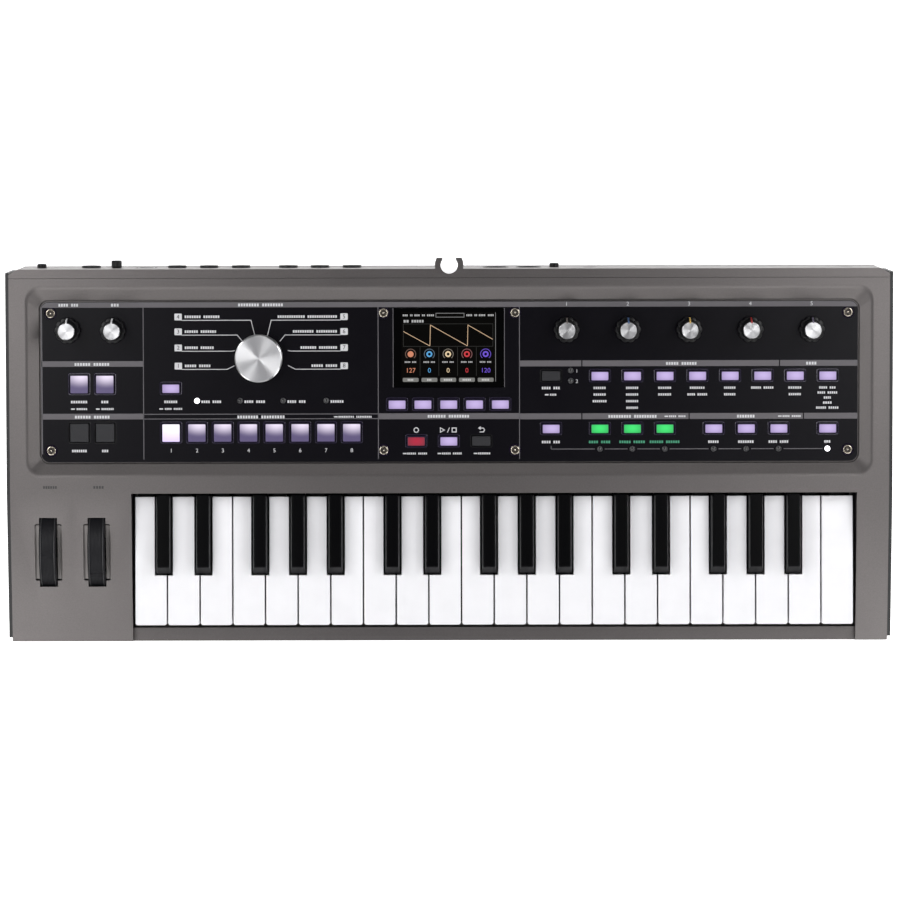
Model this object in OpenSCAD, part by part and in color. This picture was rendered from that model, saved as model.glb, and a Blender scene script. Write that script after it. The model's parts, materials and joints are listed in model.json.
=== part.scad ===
// Compact 37-key synthesizer. X runs from the lowest to the highest key, Y from the player
// to the rear and Z up. The origin is on the table, under the centre of the bounding box.

/* [Body] */
// Width over the end panels
body_w = 527; // [520:1:540]
// Depth from the front edge to the tip of the rear clip
body_d = 228; // [226:0.5:232]
// Thickness of each end panel
end_t = 2; // [1.5:0.5:3]
// Wall thickness of the two case halves
wall = 2.5; // [2:0.1:2.8]
// Height of the rubber feet
foot_h = 4; // [3:0.5:4.5]
// Height of the joint between the case halves
seam_z = 14; // [13:0.5:15]
// Height of the crease where the top changes slope
crease_z = 49.2; // [49:0.1:50.5]
// Place of the crease, behind which the control panel lies
crease_y = -25.6; // [-25.8:0.1:-25.4]
// Slope of the top behind the crease, in degrees
panel_tilt = 4; // [3.8:0.1:4.4]
// Slope of the top in front of the crease, in degrees
front_tilt = 11; // [10.5:0.1:11.5]
// Lean of the rear wall, in degrees
rear_lean = 4; // [3:0.5:4.5]

/* [Control panel] */
// Width of the panel plate
panel_w = 485.6; // [484:0.2:487]
// Depth of the panel plate along its slope
panel_d = 95.4; // [95:0.2:96]
// Thickness of the panel plate
panel_t = 2; // [1.5:0.1:2.2]
// Depth of the dish that the panel sits in
dish_depth = 3.6; // [3:0.1:4]
// Gap round the panel plate
panel_gap = 0.8; // [0.5:0.1:1]
// Side of the square button caps
square_cap = 11; // [10.6:0.1:11.2]
// Depth of the small button caps, which are as wide as the square ones
small_cap_d = 5.8; // [5.4:0.1:6]
// Distance between neighbouring programme buttons
button_pitch = 15.35; // [15.2:0.05:15.5]
// Distance between neighbouring edit buttons
edit_pitch = 19.35; // [19.2:0.05:19.5]
// Distance between neighbouring edit knobs
knob_pitch = 36.4; // [36:0.1:37]

/* [Knobs and wheels] */
// Radius of a knob's skirt
knob_r = 7.7; // [7:0.1:8]
// Height of a knob above the panel
knob_h = 16; // [14:0.5:16.5]
// Radius of the programme dial
dial_r = 14.1; // [13:0.1:15]
// Height of the programme dial above the panel
dial_h = 12; // [10:0.5:13]
// Radius of the control shafts
shaft_r = 3; // [2.8:0.1:3.2]
// Running clearance between a shaft and its bore
run_gap = 0.05; // [0.03:0.01:0.08]
// Radius of the pitch and modulation wheels
wheel_r = 24; // [23:0.5:24]
// Width of a wheel
wheel_w = 9; // [8:0.5:9.4]
// Distance between the two wheels
wheel_pitch = 28.9; // [28:0.1:30]

/* [Keyboard] */
// Distance between neighbouring white keys
white_pitch = 19.5; // [19.4:0.1:19.6]
// Gap between neighbouring white keys
key_gap = 0.9; // [0.7:0.1:1]
// Number of white keys, three octaves and the top C
white_count = 22; // [22]
// Height of the white keys' top
white_z = 40; // [39.5:0.1:40.5]
// Height of the black keys' top
black_z = 47.6; // [47:0.1:48]
// Width of the slot that a black key stands in
black_slot = 10.6; // [10.4:0.1:11]
// Radius of the rod that the keys turn on
rod_r = 1.5; // [1.4:0.1:1.8]

/* [Rear sockets] */
// Radius of a 6.35 mm jack socket's bore
jack_r = 3.25; // [3.2:0.01:3.3]
// Inner radius of the cable clip
clip_r = 5.15; // [5:0.05:5.3]

/* [Hidden] */
$fn = 48;
eps = 0.01;
cut = 1;                                   // how far a cutter runs past what it cuts

// Body outline
case_w = body_w - 2*end_t;
half_w = case_w/2;
front_y = -body_d/2;
rear_y = body_d/2;
floor_z = foot_h;
strip_front_y = 102;                       // where the top case ends and the rear strip starts
rear_edge_y = 107.5;                       // the rear top edge
function top_z(y) = crease_z + (y - crease_y)*tan(y > crease_y ? panel_tilt : front_tilt);
rear_top_z = top_z(rear_edge_y);
function rear_wall_y(z) = rear_edge_y + (rear_top_z - z)*tan(rear_lean);
lip_z = 27;                                // the low lip in front of the keys
seam_gap = 0.2;
corner_cut = [5.3, 3.2];                   // bevel of the rear corners in plan
post_w = 9;

// Control panel frame: its origin is the middle of the plate's top face
panel_mid_v = 66.25;                       // along the slope from the crease
panel_y0 = crease_y + panel_mid_v*cos(panel_tilt) + dish_depth*sin(panel_tilt);
panel_z0 = crease_z + panel_mid_v*sin(panel_tilt) - dish_depth*cos(panel_tilt);
plate_r = 4.8;
dish_w = 502;
dish_front = -55.6;                        // dish edges along the slope, from the panel's middle
dish_rear = 56.4;
dish_r = 8.5;
ledge = 4;                                 // width of the ledge under the panel's edge
board_z = -9;                              // top of the circuit board under the panel
board_t = 1.6;

// Control places in the panel frame
square_row = -30.1;
arp_row = -1.1;
octave_x = -220.1;
tempo_pitch = 15.3;
program_x = -165.6;
square_places = concat(
    [for (i = [0:1]) for (row = [arp_row, square_row]) [octave_x + i*tempo_pitch, row]],
    [for (i = [0:7]) [program_x + i*button_pitch, square_row]]);
edit_x = 89.5;                             // first edit button
edit_row = 3.3;
effect_row = -28.1;
timbre_x = 60.5;
soft_x = -0.4;                             // middle of the row under the display
soft_row = -13.5;
loop_row = -35.4;
bank_row = -3.7;
effect_x = [timbre_x, edit_x, edit_x + edit_pitch, edit_x + 2*edit_pitch,
            edit_x + 3.5*edit_pitch, edit_x + 4.5*edit_pitch, edit_x + 5.5*edit_pitch,
            edit_x + 7*edit_pitch];
small_places = concat(
    [[program_x, bank_row]],
    [for (i = [-2:2]) [soft_x + i*button_pitch, soft_row]],
    [for (i = [-1:1]) [soft_x + i*edit_pitch, loop_row]],
    [[timbre_x, edit_row]],
    [for (i = [0:7]) [edit_x + i*edit_pitch, edit_row]],
    [for (x = effect_x) [x, effect_row]]);
knob_row = 30.8;
volume_x = -226.6;
mic_x = -199.8;
edit_knob_x = 69.7;
dial_place = [-113.1, 14.3];
bank_lamp_row = -11.2;
bank_lamp_x = -150.1;
bank_lamp_pitch = 25.6;
effect_lamp_row = -40.4;
timbre_lamp_x = 72.2;
lamp_places = concat(
    [for (i = [0:3]) [bank_lamp_x + i*bank_lamp_pitch, bank_lamp_row]],
    [for (y = [0.3, 6.4]) [timbre_lamp_x, y]],
    [for (i = [1:7]) [effect_x[i], effect_lamp_row]]);
lamp_r = 1.6;
screw_places = [for (x = [-237, -39.1, 39.1, 237]) for (y = [-40.9, 40.9]) [x, y]];
screw_head_r = 2.9;
screw_r = 1.4;
screw_len = 6.5;
screw_recess = [3.7, 0.9];                 // radius and depth of the dark recess round a head
boss_r = 4.5;
hole_gap = 0.35;                           // gap round a cap in the panel
button_rise = 1.8;
button_travel = 0.8;
stem_bottom = -4.6;
switch_side = 6;
shaft_hole_r = 4.5;
knob_lift = 0.6;                           // gap under a knob
pot_side = 12;
pot_top = -2.6;
shaft_bottom = -8;
window = [65.6, 47.6];                     // display window in the panel
window_mid = [-0.3, 20.1];
glass_gap = 0.2;

// Wheels
wheel_y = -60.6;
pitch_x = -239.2;
mod_x = pitch_x + wheel_pitch;
slot_w = 10.7;
wheel_rise = 10.8;                         // how far a wheel stands out of the case
slot_gap = 0.8;
axle_y = wheel_y + (wheel_r - wheel_rise)*sin(front_tilt);
axle_z = top_z(wheel_y) - (wheel_r - wheel_rise)*cos(front_tilt);
mod_rest = 30;                             // the modulation wheel rests this far back, in degrees
hub_r = 6;
bracket_t = 2.5;
bracket_gap = 0.6;

// Keyboard
key_x0 = -188;                             // left edge of the first white key's pitch
key_front_y = -104.2;
key_bottom_z = 22;
key_wall = 1.5;
open_x = [-189.5, 242.5];                  // sides of the opening in the top case
open_front_y = -106.1;
black_front_y = -73.8;
black_base_w = 9.4;
black_top_w = 7.1;
black_slope = 4.2;                         // run of the black key's sloped front
black_rear_y = -26.8;
neck_front_y = black_front_y - 0.7;
neck_rear_y = -27.6;
shank_w = 8.4;
shank_bottom_z = 26;
shank_top_z = 35;
pivot = [8, 30.5];                         // Y and Z of the rod
tail_y = 16;
bar_y = [-62, -58];                        // cross bar that presses the contact
// Offset of the black key after each white key of an octave, undef where there is none
BLACK_OFFSETS = [-2.1, 2.1, undef, -3, 0, 3, undef];
LETTERS = ["c", "d", "e", "f", "g", "a", "b"];
FIRST_OCTAVE = 3;
function degree(i) = i % 7;
function black_after(i) = (i < 0 || i >= white_count - 1) ? undef : BLACK_OFFSETS[degree(i)];
function neck_left(i) = is_undef(black_after(i - 1)) ? key_gap/2
                                                     : black_after(i - 1) + black_slot/2;
function neck_right(i) = white_pitch
    + (is_undef(black_after(i)) ? -key_gap/2 : black_after(i) - black_slot/2);
function white_x(i) = key_x0 + i*white_pitch;
function white_mid_x(i) = white_x(i) + (neck_left(i) + neck_right(i))/2;
function black_mid_x(i) = white_x(i + 1) + black_after(i);
function white_name(i) = str("white_key_", LETTERS[degree(i)], FIRST_OCTAVE + floor(i/7));
function black_name(i) = str("black_key_", LETTERS[degree(i)], "_sharp_",
                             FIRST_OCTAVE + floor(i/7));
WHITES = [for (i = [0:white_count - 1]) i];
BLACKS = [for (i = WHITES) if (!is_undef(black_after(i))) i];
key_mid_x = concat([for (i = WHITES) white_mid_x(i)], [for (i = BLACKS) black_mid_x(i)]);
keybed_x = [key_x0 + key_gap/2, key_x0 + white_count*white_pitch - key_gap/2];

// Keyboard chassis
chassis_z = [9, 11.5];
chassis_y = [-103, 22];
felt = [-100, -92, 15.2];                  // front, rear and top of the felt rail
ledge_y = [11, 17];
ledge_top_z = 25.9;
rib_t = 1.2;
contact_y = [-70, -48];
dome_y = -60;
dome_top_z = 17.6;
chassis_screw_r = 5;

// Rear wall: X and height of each socket
socket_z = 32;
jack_x = [-162.6, -143.6, -124.5, -96.2, -77.2, -58.1];
mic_jack_x = -214;
level_knob_x = -198.9;
usb_x = -181;
din_x = [27.7, 47.4];
din_r = 7.6;
dc_x = 84;
dc_r = 2.8;
rear_button_x = [-243.6, 62.8];
rear_button_r = 2.85;
rear_button_rise = 2.5;
level_knob_r = 3.15;
lock_x = 238;
lock_slot = [7, 3];
usb_port = [8.4, 7.7];
usb_shell = [12, 11];
panel_joint_gap = 0.1;                     // between the floor and the rear panel on it
jack_body = [15, 13, 26];
jack_nut_r = 5.6;
jack_nut_t = 1.4;
clip_y = 109.8;
clip_outer_r = 8.5;
clip_mouth = 7.9;
clip_h = 8;
groove_gap = 0.4;                          // how much wider the groove is than the clip
groove_wall = 1.85;
jack_board_z = 22;
jack_board_y = [62, 102];
foot_r = 8;
foot_places = [for (x = [-228, 228]) for (y = [-94, 88]) [x, y]];

KNOBS = ["volume_knob", "mic_knob", "edit_knob_1", "edit_knob_2", "edit_knob_3", "edit_knob_4",
         "edit_knob_5"];
knob_x = concat([volume_x, mic_x], [for (i = [0:4]) edit_knob_x + i*knob_pitch]);

// Extrudes an outline drawn in Y and Z from x0 to x1.
module along_x(x0, x1) {
    translate([x0, 0, 0]) rotate([90, 0, 90]) linear_extrude(x1 - x0) children();
}

// A block between two opposite corners.
module block(low, high) {
    translate(low) cube(high - low);
}

// Puts children in the control panel's frame, with Z out of the panel.
module on_panel(place = [0, 0]) {
    translate([0, panel_y0, panel_z0]) rotate([panel_tilt, 0, 0])
        translate([place[0], place[1], 0]) children();
}

// Puts children on the rear wall at x and height z, with their Z axis out of the wall.
module on_rear(x, z = socket_z) {
    translate([x, rear_wall_y(z), z]) rotate([rear_lean - 90, 0, 0]) children();
}

// A plate with round corners, centred, with its top face at z = 0.
module round_plate(w, d, t, r) {
    translate([0, 0, -t]) {
        translate([-w/2 + r, -d/2, 0]) cube([w - 2*r, d, t]);
        translate([-w/2, -d/2 + r, 0]) cube([w, d - 2*r, t]);
        for (x = [-1, 1]) for (y = [-1, 1])
            translate([x*(w/2 - r), y*(d/2 - r), 0]) cylinder(r = r, h = t);
    }
}

// The dish's space: a tray with sloping sides and round corners.
module dish_space() {
    mid = (dish_front + dish_rear)/2;
    dish_d = dish_rear - dish_front;
    slope_top = dish_depth + cut;
    spread = 1 + cut/dish_depth;
    hull() {
        linear_extrude(eps) offset(plate_r + panel_gap, $fn = 32)
            square([panel_w + 2*panel_gap - 2*(plate_r + panel_gap),
                    panel_d + 2*panel_gap - 2*(plate_r + panel_gap)], center = true);
        translate([0, mid*spread, slope_top]) linear_extrude(eps) offset(dish_r, $fn = 32)
            square([panel_w + (dish_w - panel_w)*spread - 2*dish_r,
                    panel_d + (dish_d - panel_d)*spread - 2*dish_r], center = true);
    }
}

module top_case() {
    inner_x = half_w - wall;
    lip_open = strip_front_y + cut;
    color([0.46, 0.45, 0.44]) difference() {
        union() {
            difference() {
                along_x(-half_w, half_w)
                    polygon([[front_y, seam_z + seam_gap], [front_y, top_z(front_y)],
                             [crease_y, crease_z], [strip_front_y, top_z(strip_front_y)],
                             [strip_front_y, seam_z + seam_gap]]);
                along_x(-inner_x, inner_x)
                    polygon([[front_y + wall, seam_z - cut],
                             [front_y + wall, top_z(front_y + wall) - wall],
                             [crease_y, crease_z - wall],
                             [strip_front_y - wall, top_z(strip_front_y) - wall],
                             [strip_front_y - wall, top_z(strip_front_y) - 2*wall],
                             [lip_open, top_z(strip_front_y) - 2*wall],
                             [lip_open, seam_z - cut]]);
            }
            // the ledge that carries the panel
            on_panel() translate([0, (dish_front + dish_rear)/2, dish_depth - wall/2])
                round_plate(dish_w, dish_rear - dish_front - 2*wall, dish_depth + panel_t
                            + wall - wall/2, dish_r);
            // screw bosses
            for (place = screw_places) on_panel(place)
                translate([0, 0, board_z]) cylinder(r = boss_r, h = -board_z - panel_t);
        }
        on_panel() dish_space();
        on_panel() translate([0, 0, cut]) round_plate(panel_w + 2*panel_gap,
            panel_d + 2*panel_gap, panel_t + cut, plate_r + panel_gap);
        difference() {
            on_panel() round_plate(panel_w - 2*ledge, panel_d - 2*ledge, 2*wall + panel_t + cut,
                                   plate_r);
            for (place = screw_places) on_panel(place)
                translate([0, 0, board_z - cut]) cylinder(r = boss_r, h = -board_z + 2*cut);
        }
        for (place = screw_places) on_panel(place)
            translate([0, 0, board_z - cut]) cylinder(r = screw_r + 0.05, h = -board_z + cut);
        // key opening and lowered lip
        block([open_x[0], open_front_y, seam_z - cut], [open_x[1], crease_y, crease_z + cut]);
        block([open_x[0], front_y - cut, lip_z], [open_x[1], crease_y, crease_z + cut]);
        // wheel slots
        for (x = [pitch_x, mod_x]) translate([x, axle_y, axle_z]) rotate([0, 90, 0])
            cylinder(r = wheel_r + slot_gap, h = slot_w, center = true, $fn = 96);
    }
    color([0.46, 0.45, 0.44]) {
        // walls down both sides of the key opening
        for (x = [open_x[0] - wall, open_x[1]])
            along_x(x, x + wall)
                polygon([[front_y + wall/2, lip_z - wall], [front_y + wall/2,
                         top_z(front_y) - wall/2], [crease_y, crease_z - wall/2],
                         [crease_y, lip_z - wall]]);
        // lip shelf and its inner edge
        block([open_x[0] - wall/2, front_y + wall/2, lip_z - wall],
              [open_x[1] + wall/2, open_front_y, lip_z]);
        block([open_x[0] - wall/2, open_front_y - wall, key_bottom_z - wall],
              [open_x[1] + wall/2, open_front_y, lip_z - wall/2]);
    }
}

// Wedges that bevel the rear corners of the case.
module corner_cuts() {
    inner = half_w - corner_cut[0];
    outer = half_w + cut;
    bevel_y = rear_edge_y - corner_cut[1];
    for (side = [-1, 1])
        linear_extrude(rear_top_z + cut)
            polygon([[side*inner, rear_y], [side*inner, rear_edge_y], [side*half_w, bevel_y],
                     [side*outer, bevel_y], [side*outer, rear_y]]);
}

// The groove that runs down behind the clip, from z0 up to the clip.
module groove_space(z0) {
    top = rear_top_z - clip_h;
    translate([0, clip_y, z0 - cut]) cylinder(r = clip_r + groove_gap, h = top - z0 + cut);
    block([-clip_mouth/2, clip_y, z0 - cut], [clip_mouth/2, rear_y + cut, top + cut]);
}

module bottom_case() {
    floor_top = floor_z + wall;
    floor_rear_y = rear_wall_y(floor_z);
    color([0.44, 0.43, 0.42]) {
        difference() {
            union() {
                block([-half_w, front_y + 1, floor_z], [half_w, floor_rear_y, floor_top]);
                along_x(-half_w, half_w)
                    polygon([[front_y, floor_z + 1], [front_y + 1, floor_z],
                             [front_y + wall, floor_z], [front_y + wall, seam_z],
                             [front_y, seam_z]]);
                for (low = [-half_w, half_w - wall])
                    block([low, front_y + wall/2, floor_z],
                          [low + wall, strip_front_y, seam_z]);
            }
            corner_cuts();
            groove_space(floor_z);
        }
        // bosses that carry the keyboard chassis
        for (x = [-150, -40, 90, 205]) for (y = [-86, 4])
            translate([x, y, floor_top - eps]) cylinder(r = chassis_screw_r,
                                                        h = chassis_z[0] - floor_top + eps);
        // uprights that the wheels turn between
        for (x = [pitch_x, mod_x]) wheel_bracket(x);
    }
}

// The rear wall with the strip over it, the sockets' holes and the cable clip.
module rear_panel() {
    z0 = floor_z + wall + panel_joint_gap;
    strip_y = strip_front_y + seam_gap;
    edge_y = rear_edge_y - wall/2;
    foot_y = rear_wall_y(z0) - wall/2;
    high_z = rear_top_z - wall/2;
    color([0.44, 0.43, 0.42]) difference() {
        union() {
            along_x(-half_w, half_w)
                polygon([[rear_wall_y(z0), z0], [rear_edge_y, rear_top_z],
                         [strip_y, top_z(strip_y)], [strip_y, top_z(strip_y) - wall],
                         [rear_edge_y - wall, rear_top_z - wall],
                         [rear_wall_y(z0) - wall, z0]]);
            // returns at both ends
            for (low = [-half_w, half_w - wall])
                along_x(low, low + wall)
                    polygon([[strip_y, z0], [foot_y, z0], [edge_y, high_z],
                             [strip_y, rear_top_z - wall]]);
            // solid corner posts behind the bevels
            for (low = [-half_w, half_w - post_w])
                along_x(low, low + post_w)
                    polygon([[rear_wall_y(z0) - post_w, z0], [foot_y, z0], [edge_y, high_z],
                             [rear_edge_y - wall - 1, high_z]]);
            // walls of the groove
            intersection() {
                groove_r = clip_r + groove_gap + groove_wall;
                translate([0, clip_y, z0]) cylinder(r = groove_r, h = high_z - z0);
                along_x(-groove_r, groove_r)
                    polygon([[strip_y, z0], [rear_wall_y(z0) - eps, z0],
                             [rear_edge_y - eps, rear_top_z], [strip_y, rear_top_z]]);
            }
            clip_body();
        }
        corner_cuts();
        groove_space(z0);
        translate([0, clip_y, rear_top_z - clip_h - eps]) cylinder(r = clip_r, h = 2*clip_h);
        block([-clip_mouth/2, clip_y, rear_top_z - clip_h - eps],
              [clip_mouth/2, rear_y + cut, rear_top_z + cut]);
        rear_wall_holes();
    }
}

// The open ring at the top of the rear wall that a microphone lead or stem snaps into.
module clip_body() {
    intersection() {
        translate([0, clip_y, rear_top_z - clip_h]) cylinder(r = clip_outer_r, h = clip_h
                                                             - 0.3);
        block([-clip_outer_r, rear_edge_y - wall, 0], [clip_outer_r, rear_y, rear_top_z]);
    }
}

module rear_wall_holes() {
    for (x = concat(jack_x, [mic_jack_x])) rear_drill(x, jack_r + 1.6);
    for (x = rear_button_x) rear_drill(x, rear_button_r + 0.3);
    rear_drill(level_knob_x, shaft_r + 0.6);
    for (x = din_x) rear_drill(x, din_r + 0.3);
    rear_drill(dc_x, dc_r + 1.2);
    on_rear(usb_x) cube([usb_shell[0] + 0.6, usb_shell[1] + 0.6, 4*wall], center = true);
    on_rear(lock_x) cube([lock_slot[0], lock_slot[1], 4*wall], center = true);
}

module rear_drill(x, r) {
    on_rear(x) cylinder(r = r, h = 4*wall, center = true);
}

module wheel_bracket(x) {
    floor_top = floor_z + wall;
    half_l = 7;
    above = 6;
    for (side = [-1, 1]) {
        inner = x + side*(wheel_w/2 + bracket_gap);
        low = side < 0 ? inner - bracket_t : inner;
        difference() {
            block([low, axle_y - half_l, floor_top - eps],
                  [low + bracket_t, axle_y + half_l, axle_z + above]);
            translate([low - cut, axle_y, axle_z]) rotate([0, 90, 0])
                cylinder(r = shaft_r + run_gap, h = bracket_t + 2*cut);
        }
    }
}

module end_panels() {
    rim = 0.8;                             // how far the panels stay below the case top
    inset_front = 2.4;
    inset_rear = 2;
    color([0.07, 0.07, 0.075]) for (side = [-1, 1]) {
        low = side < 0 ? -body_w/2 : half_w;
        along_x(low, low + end_t)
            polygon([[front_y + inset_front, floor_z + 0.5],
                     [rear_wall_y(floor_z) - inset_rear, floor_z + 0.5],
                     [rear_edge_y - inset_rear, top_z(rear_edge_y - inset_rear) - rim],
                     [crease_y, crease_z - rim],
                     [front_y + inset_front, top_z(front_y + inset_front) - rim]]);
    }
}

module rubber_feet() {
    color([0.05, 0.05, 0.05]) for (place = foot_places)
        translate([place[0], place[1], 0]) {
            cylinder(r1 = foot_r - 0.8, r2 = foot_r, h = 0.8);
            translate([0, 0, 0.8]) cylinder(r = foot_r, h = foot_h - 0.8);
        }
}

module control_panel() {
    deep = panel_t + 2*cut;
    color([0.09, 0.09, 0.1]) on_panel() difference() {
        round_plate(panel_w, panel_d, panel_t, plate_r);
        translate([0, 0, -panel_t - cut]) {
            for (place = square_places) translate([place[0] - square_cap/2 - hole_gap,
                place[1] - square_cap/2 - hole_gap, 0])
                cube([square_cap + 2*hole_gap, square_cap + 2*hole_gap, deep]);
            for (place = small_places) translate([place[0] - square_cap/2 - hole_gap,
                place[1] - small_cap_d/2 - hole_gap, 0])
                cube([square_cap + 2*hole_gap, small_cap_d + 2*hole_gap, deep]);
            for (x = knob_x) translate([x, knob_row, 0]) cylinder(r = shaft_hole_r, h = deep);
            translate([dial_place[0], dial_place[1], 0]) cylinder(r = shaft_hole_r, h = deep);
            for (place = lamp_places) translate([place[0], place[1], 0])
                cylinder(r = lamp_r + 0.15, h = deep);
            for (place = screw_places) translate([place[0], place[1], 0])
                cylinder(r = screw_r + 0.4, h = deep);
            translate([window_mid[0] - window[0]/2, window_mid[1] - window[1]/2, 0])
                cube([window[0], window[1], deep]);
        }
        for (place = screw_places) translate([place[0], place[1], -screw_recess[1]])
            cylinder(r = screw_recess[0], h = screw_recess[1] + cut);
    }
}

module panel_screws() {
    head_h = 1.4;
    cross = [3.4, 0.8, 0.7];
    color([0.75, 0.74, 0.72]) for (place = screw_places) on_panel(place)
        translate([0, 0, -screw_recess[1]]) difference() {
            union() {
                cylinder(r1 = screw_head_r, r2 = screw_head_r - 0.5, h = head_h);
                translate([0, 0, -screw_len]) cylinder(r = screw_r, h = screw_len + eps);
            }
            translate([0, 0, head_h]) for (turn = [0, 90]) rotate([0, 0, turn])
                cube([cross[0], cross[1], 2*cross[2]], center = true);
        }
}

module display_module() {
    glass = [window[0] - 2*glass_gap, window[1] - 2*glass_gap];
    body_t = 4;
    color([0.03, 0.03, 0.035]) on_panel(window_mid) {
        translate([-glass[0]/2, -glass[1]/2, -panel_t - 0.1])
            cube([glass[0], glass[1], panel_t]);
        translate([-glass[0]/2 - 0.4, -glass[1]/2 - 1, -panel_t - 0.1 - body_t])
            cube([glass[0] + 0.8, glass[1] + 0.6, body_t]);
    }
}

// A potentiometer or encoder body with a bore for its shaft, standing on a board at z = 0.
module pot(h) {
    difference() {
        translate([-pot_side/2, -pot_side/2, 0]) cube([pot_side, pot_side, h]);
        translate([0, 0, 0.4]) cylinder(r = shaft_r + run_gap, h = h);
    }
}

module circuit_boards() {
    color([0.1, 0.32, 0.18]) {
        on_panel() translate([0, 0, board_z]) {
            translate([-236, -43.5, -board_t]) cube([472, 87, board_t]);
            for (x = knob_x) translate([x, knob_row, 0]) pot(pot_top - board_z);
            translate([dial_place[0], dial_place[1], 0]) pot(pot_top - board_z);
            for (place = concat(square_places, small_places))
                translate([place[0] - switch_side/2, place[1] - switch_side/2 + 0.1, -eps])
                    cube([switch_side, switch_side - 0.2,
                          stem_bottom - button_travel - 0.1 - board_z]);
            for (place = lamp_places) translate([place[0], place[1], -eps])
                cylinder(r = lamp_r, h = -board_z - 0.1);
        }
        // jack board with its sockets
        block([-250, jack_board_y[0], jack_board_z - board_t],
              [100, jack_board_y[1], jack_board_z]);
        for (x = concat(jack_x, [mic_jack_x])) jack_socket(x);
        for (x = din_x) on_rear(x) difference() {
            translate([-8.5, -9, -18]) cube([17, 18.5, 15]);
            translate([0, 0, -12]) cylinder(r = din_r - 0.9, h = 20);
        }
        for (x = din_x) on_rear(x) difference() {
            translate([0, 0, -3 - eps]) cylinder(r = din_r, h = 3.3);
            translate([0, 0, -12]) cylinder(r = din_r - 0.9, h = 20);
        }
        on_rear(usb_x) difference() {
            union() {
                translate([-usb_shell[0]/2, -usb_shell[1]/2, -16])
                    cube([usb_shell[0], 15.5, 16 - wall - 0.3]);
                translate([-usb_shell[0]/2, -usb_shell[1]/2, -wall - 1])
                    cube([usb_shell[0], usb_shell[1], wall + 0.8]);
            }
            translate([-usb_port[0]/2, -usb_port[1]/2, -10])
                cube([usb_port[0], usb_port[1], 20]);
        }
        on_rear(dc_x) difference() {
            translate([-4.5, -5, -14]) cube([9, 15, 11]);
            translate([0, 0, -10]) cylinder(r = dc_r, h = 20);
        }
        on_rear(level_knob_x) translate([0, 0, -13.2]) difference() {
            translate([-5.5, -5.5, 0]) cube([11, 15.5, 9.5]);
            translate([0, 0, 1]) cylinder(r = shaft_r + run_gap, h = 20);
        }
        for (x = rear_button_x) on_rear(x) translate([-4, -4, -15]) cube([8, 14, 8.4]);
        // contact strip under the keys
        block([keybed_x[0] + 2, contact_y[0], chassis_z[1]],
              [keybed_x[1] - 2, contact_y[1], chassis_z[1] + board_t]);
        for (x = key_mid_x) translate([x, dome_y, chassis_z[1] + board_t - eps])
            cylinder(r1 = 3.2, r2 = 2, h = dome_top_z - chassis_z[1] - board_t + eps);
    }
}

// A 6.35 mm jack socket: body, threaded neck through the wall and ring nut.
module jack_socket(x) {
    on_rear(x) difference() {
        union() {
            translate([-jack_body[0]/2, -jack_body[1]/2, -wall - 1 - jack_body[2]])
                cube([jack_body[0], jack_body[1] + 3.6, jack_body[2]]);
            translate([0, 0, -wall - 1 - eps]) cylinder(r = jack_r + 1.3, h = wall + 2.4);
            cylinder(r = jack_nut_r, h = jack_nut_t);
        }
        translate([0, 0, -25]) cylinder(r = jack_r, h = 40);
    }
}

module keybed_chassis() {
    rib_x = concat([keybed_x[0] + rib_t/2],
                   [for (i = [0:white_count - 2]) if (is_undef(black_after(i)))
                       (white_mid_x(i) + white_mid_x(i + 1))/2],
                   [keybed_x[1] - rib_t/2]);
    color([0.16, 0.16, 0.17]) {
        along_x(keybed_x[0], keybed_x[1])
            polygon([[chassis_y[0], chassis_z[0]], [chassis_y[1], chassis_z[0]],
                     [chassis_y[1], chassis_z[1]], [ledge_y[1], chassis_z[1]],
                     [ledge_y[1], ledge_top_z], [ledge_y[0], ledge_top_z],
                     [ledge_y[0], chassis_z[1]], [felt[1], chassis_z[1]],
                     [felt[1], felt[2]], [felt[0], felt[2]], [felt[0], chassis_z[1]],
                     [chassis_y[0], chassis_z[1]]]);
        for (x = rib_x)
            block([x - rib_t/2, pivot[0] - 4, chassis_z[1] - eps],
                  [x + rib_t/2, pivot[0] + 4, pivot[1] + 3]);
        translate([keybed_x[0], pivot[0], pivot[1]]) rotate([0, 90, 0])
            cylinder(r = rod_r, h = keybed_x[1] - keybed_x[0]);
    }
}

// A wheel on its stub shafts, cut away below the hub where it never shows.
module wheel() {
    below = 4;
    difference() {
        intersection() {
            rotate([0, 90, 0]) cylinder(r = wheel_r, h = wheel_w, center = true, $fn = 96);
            translate([-wheel_w, -wheel_r - cut, -below]) cube([2*wheel_w, 2*(wheel_r + cut),
                                                                2*wheel_r]);
        }
        // dished sides
        for (side = [-1, 1]) translate([side*wheel_w/2, 0, 0]) rotate([0, 90, 0])
            difference() {
                cylinder(r = wheel_r - 4, h = 4, center = true, $fn = 96);
                cylinder(r = hub_r, h = 6, center = true);
            }
    }
    rotate([0, 90, 0]) cylinder(r = hub_r, h = wheel_w, center = true);
    rotate([0, 90, 0]) cylinder(r = shaft_r, h = wheel_w + 2*(bracket_gap + bracket_t),
                                center = true);
}

module pitch_wheel() {
    color([0.05, 0.05, 0.055]) translate([pitch_x, axle_y, axle_z])
        rotate([front_tilt, 0, 0]) wheel();
}

module mod_wheel() {
    color([0.05, 0.05, 0.055]) translate([mod_x, axle_y, axle_z])
        rotate([front_tilt + mod_rest, 0, 0]) wheel();
}

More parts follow.
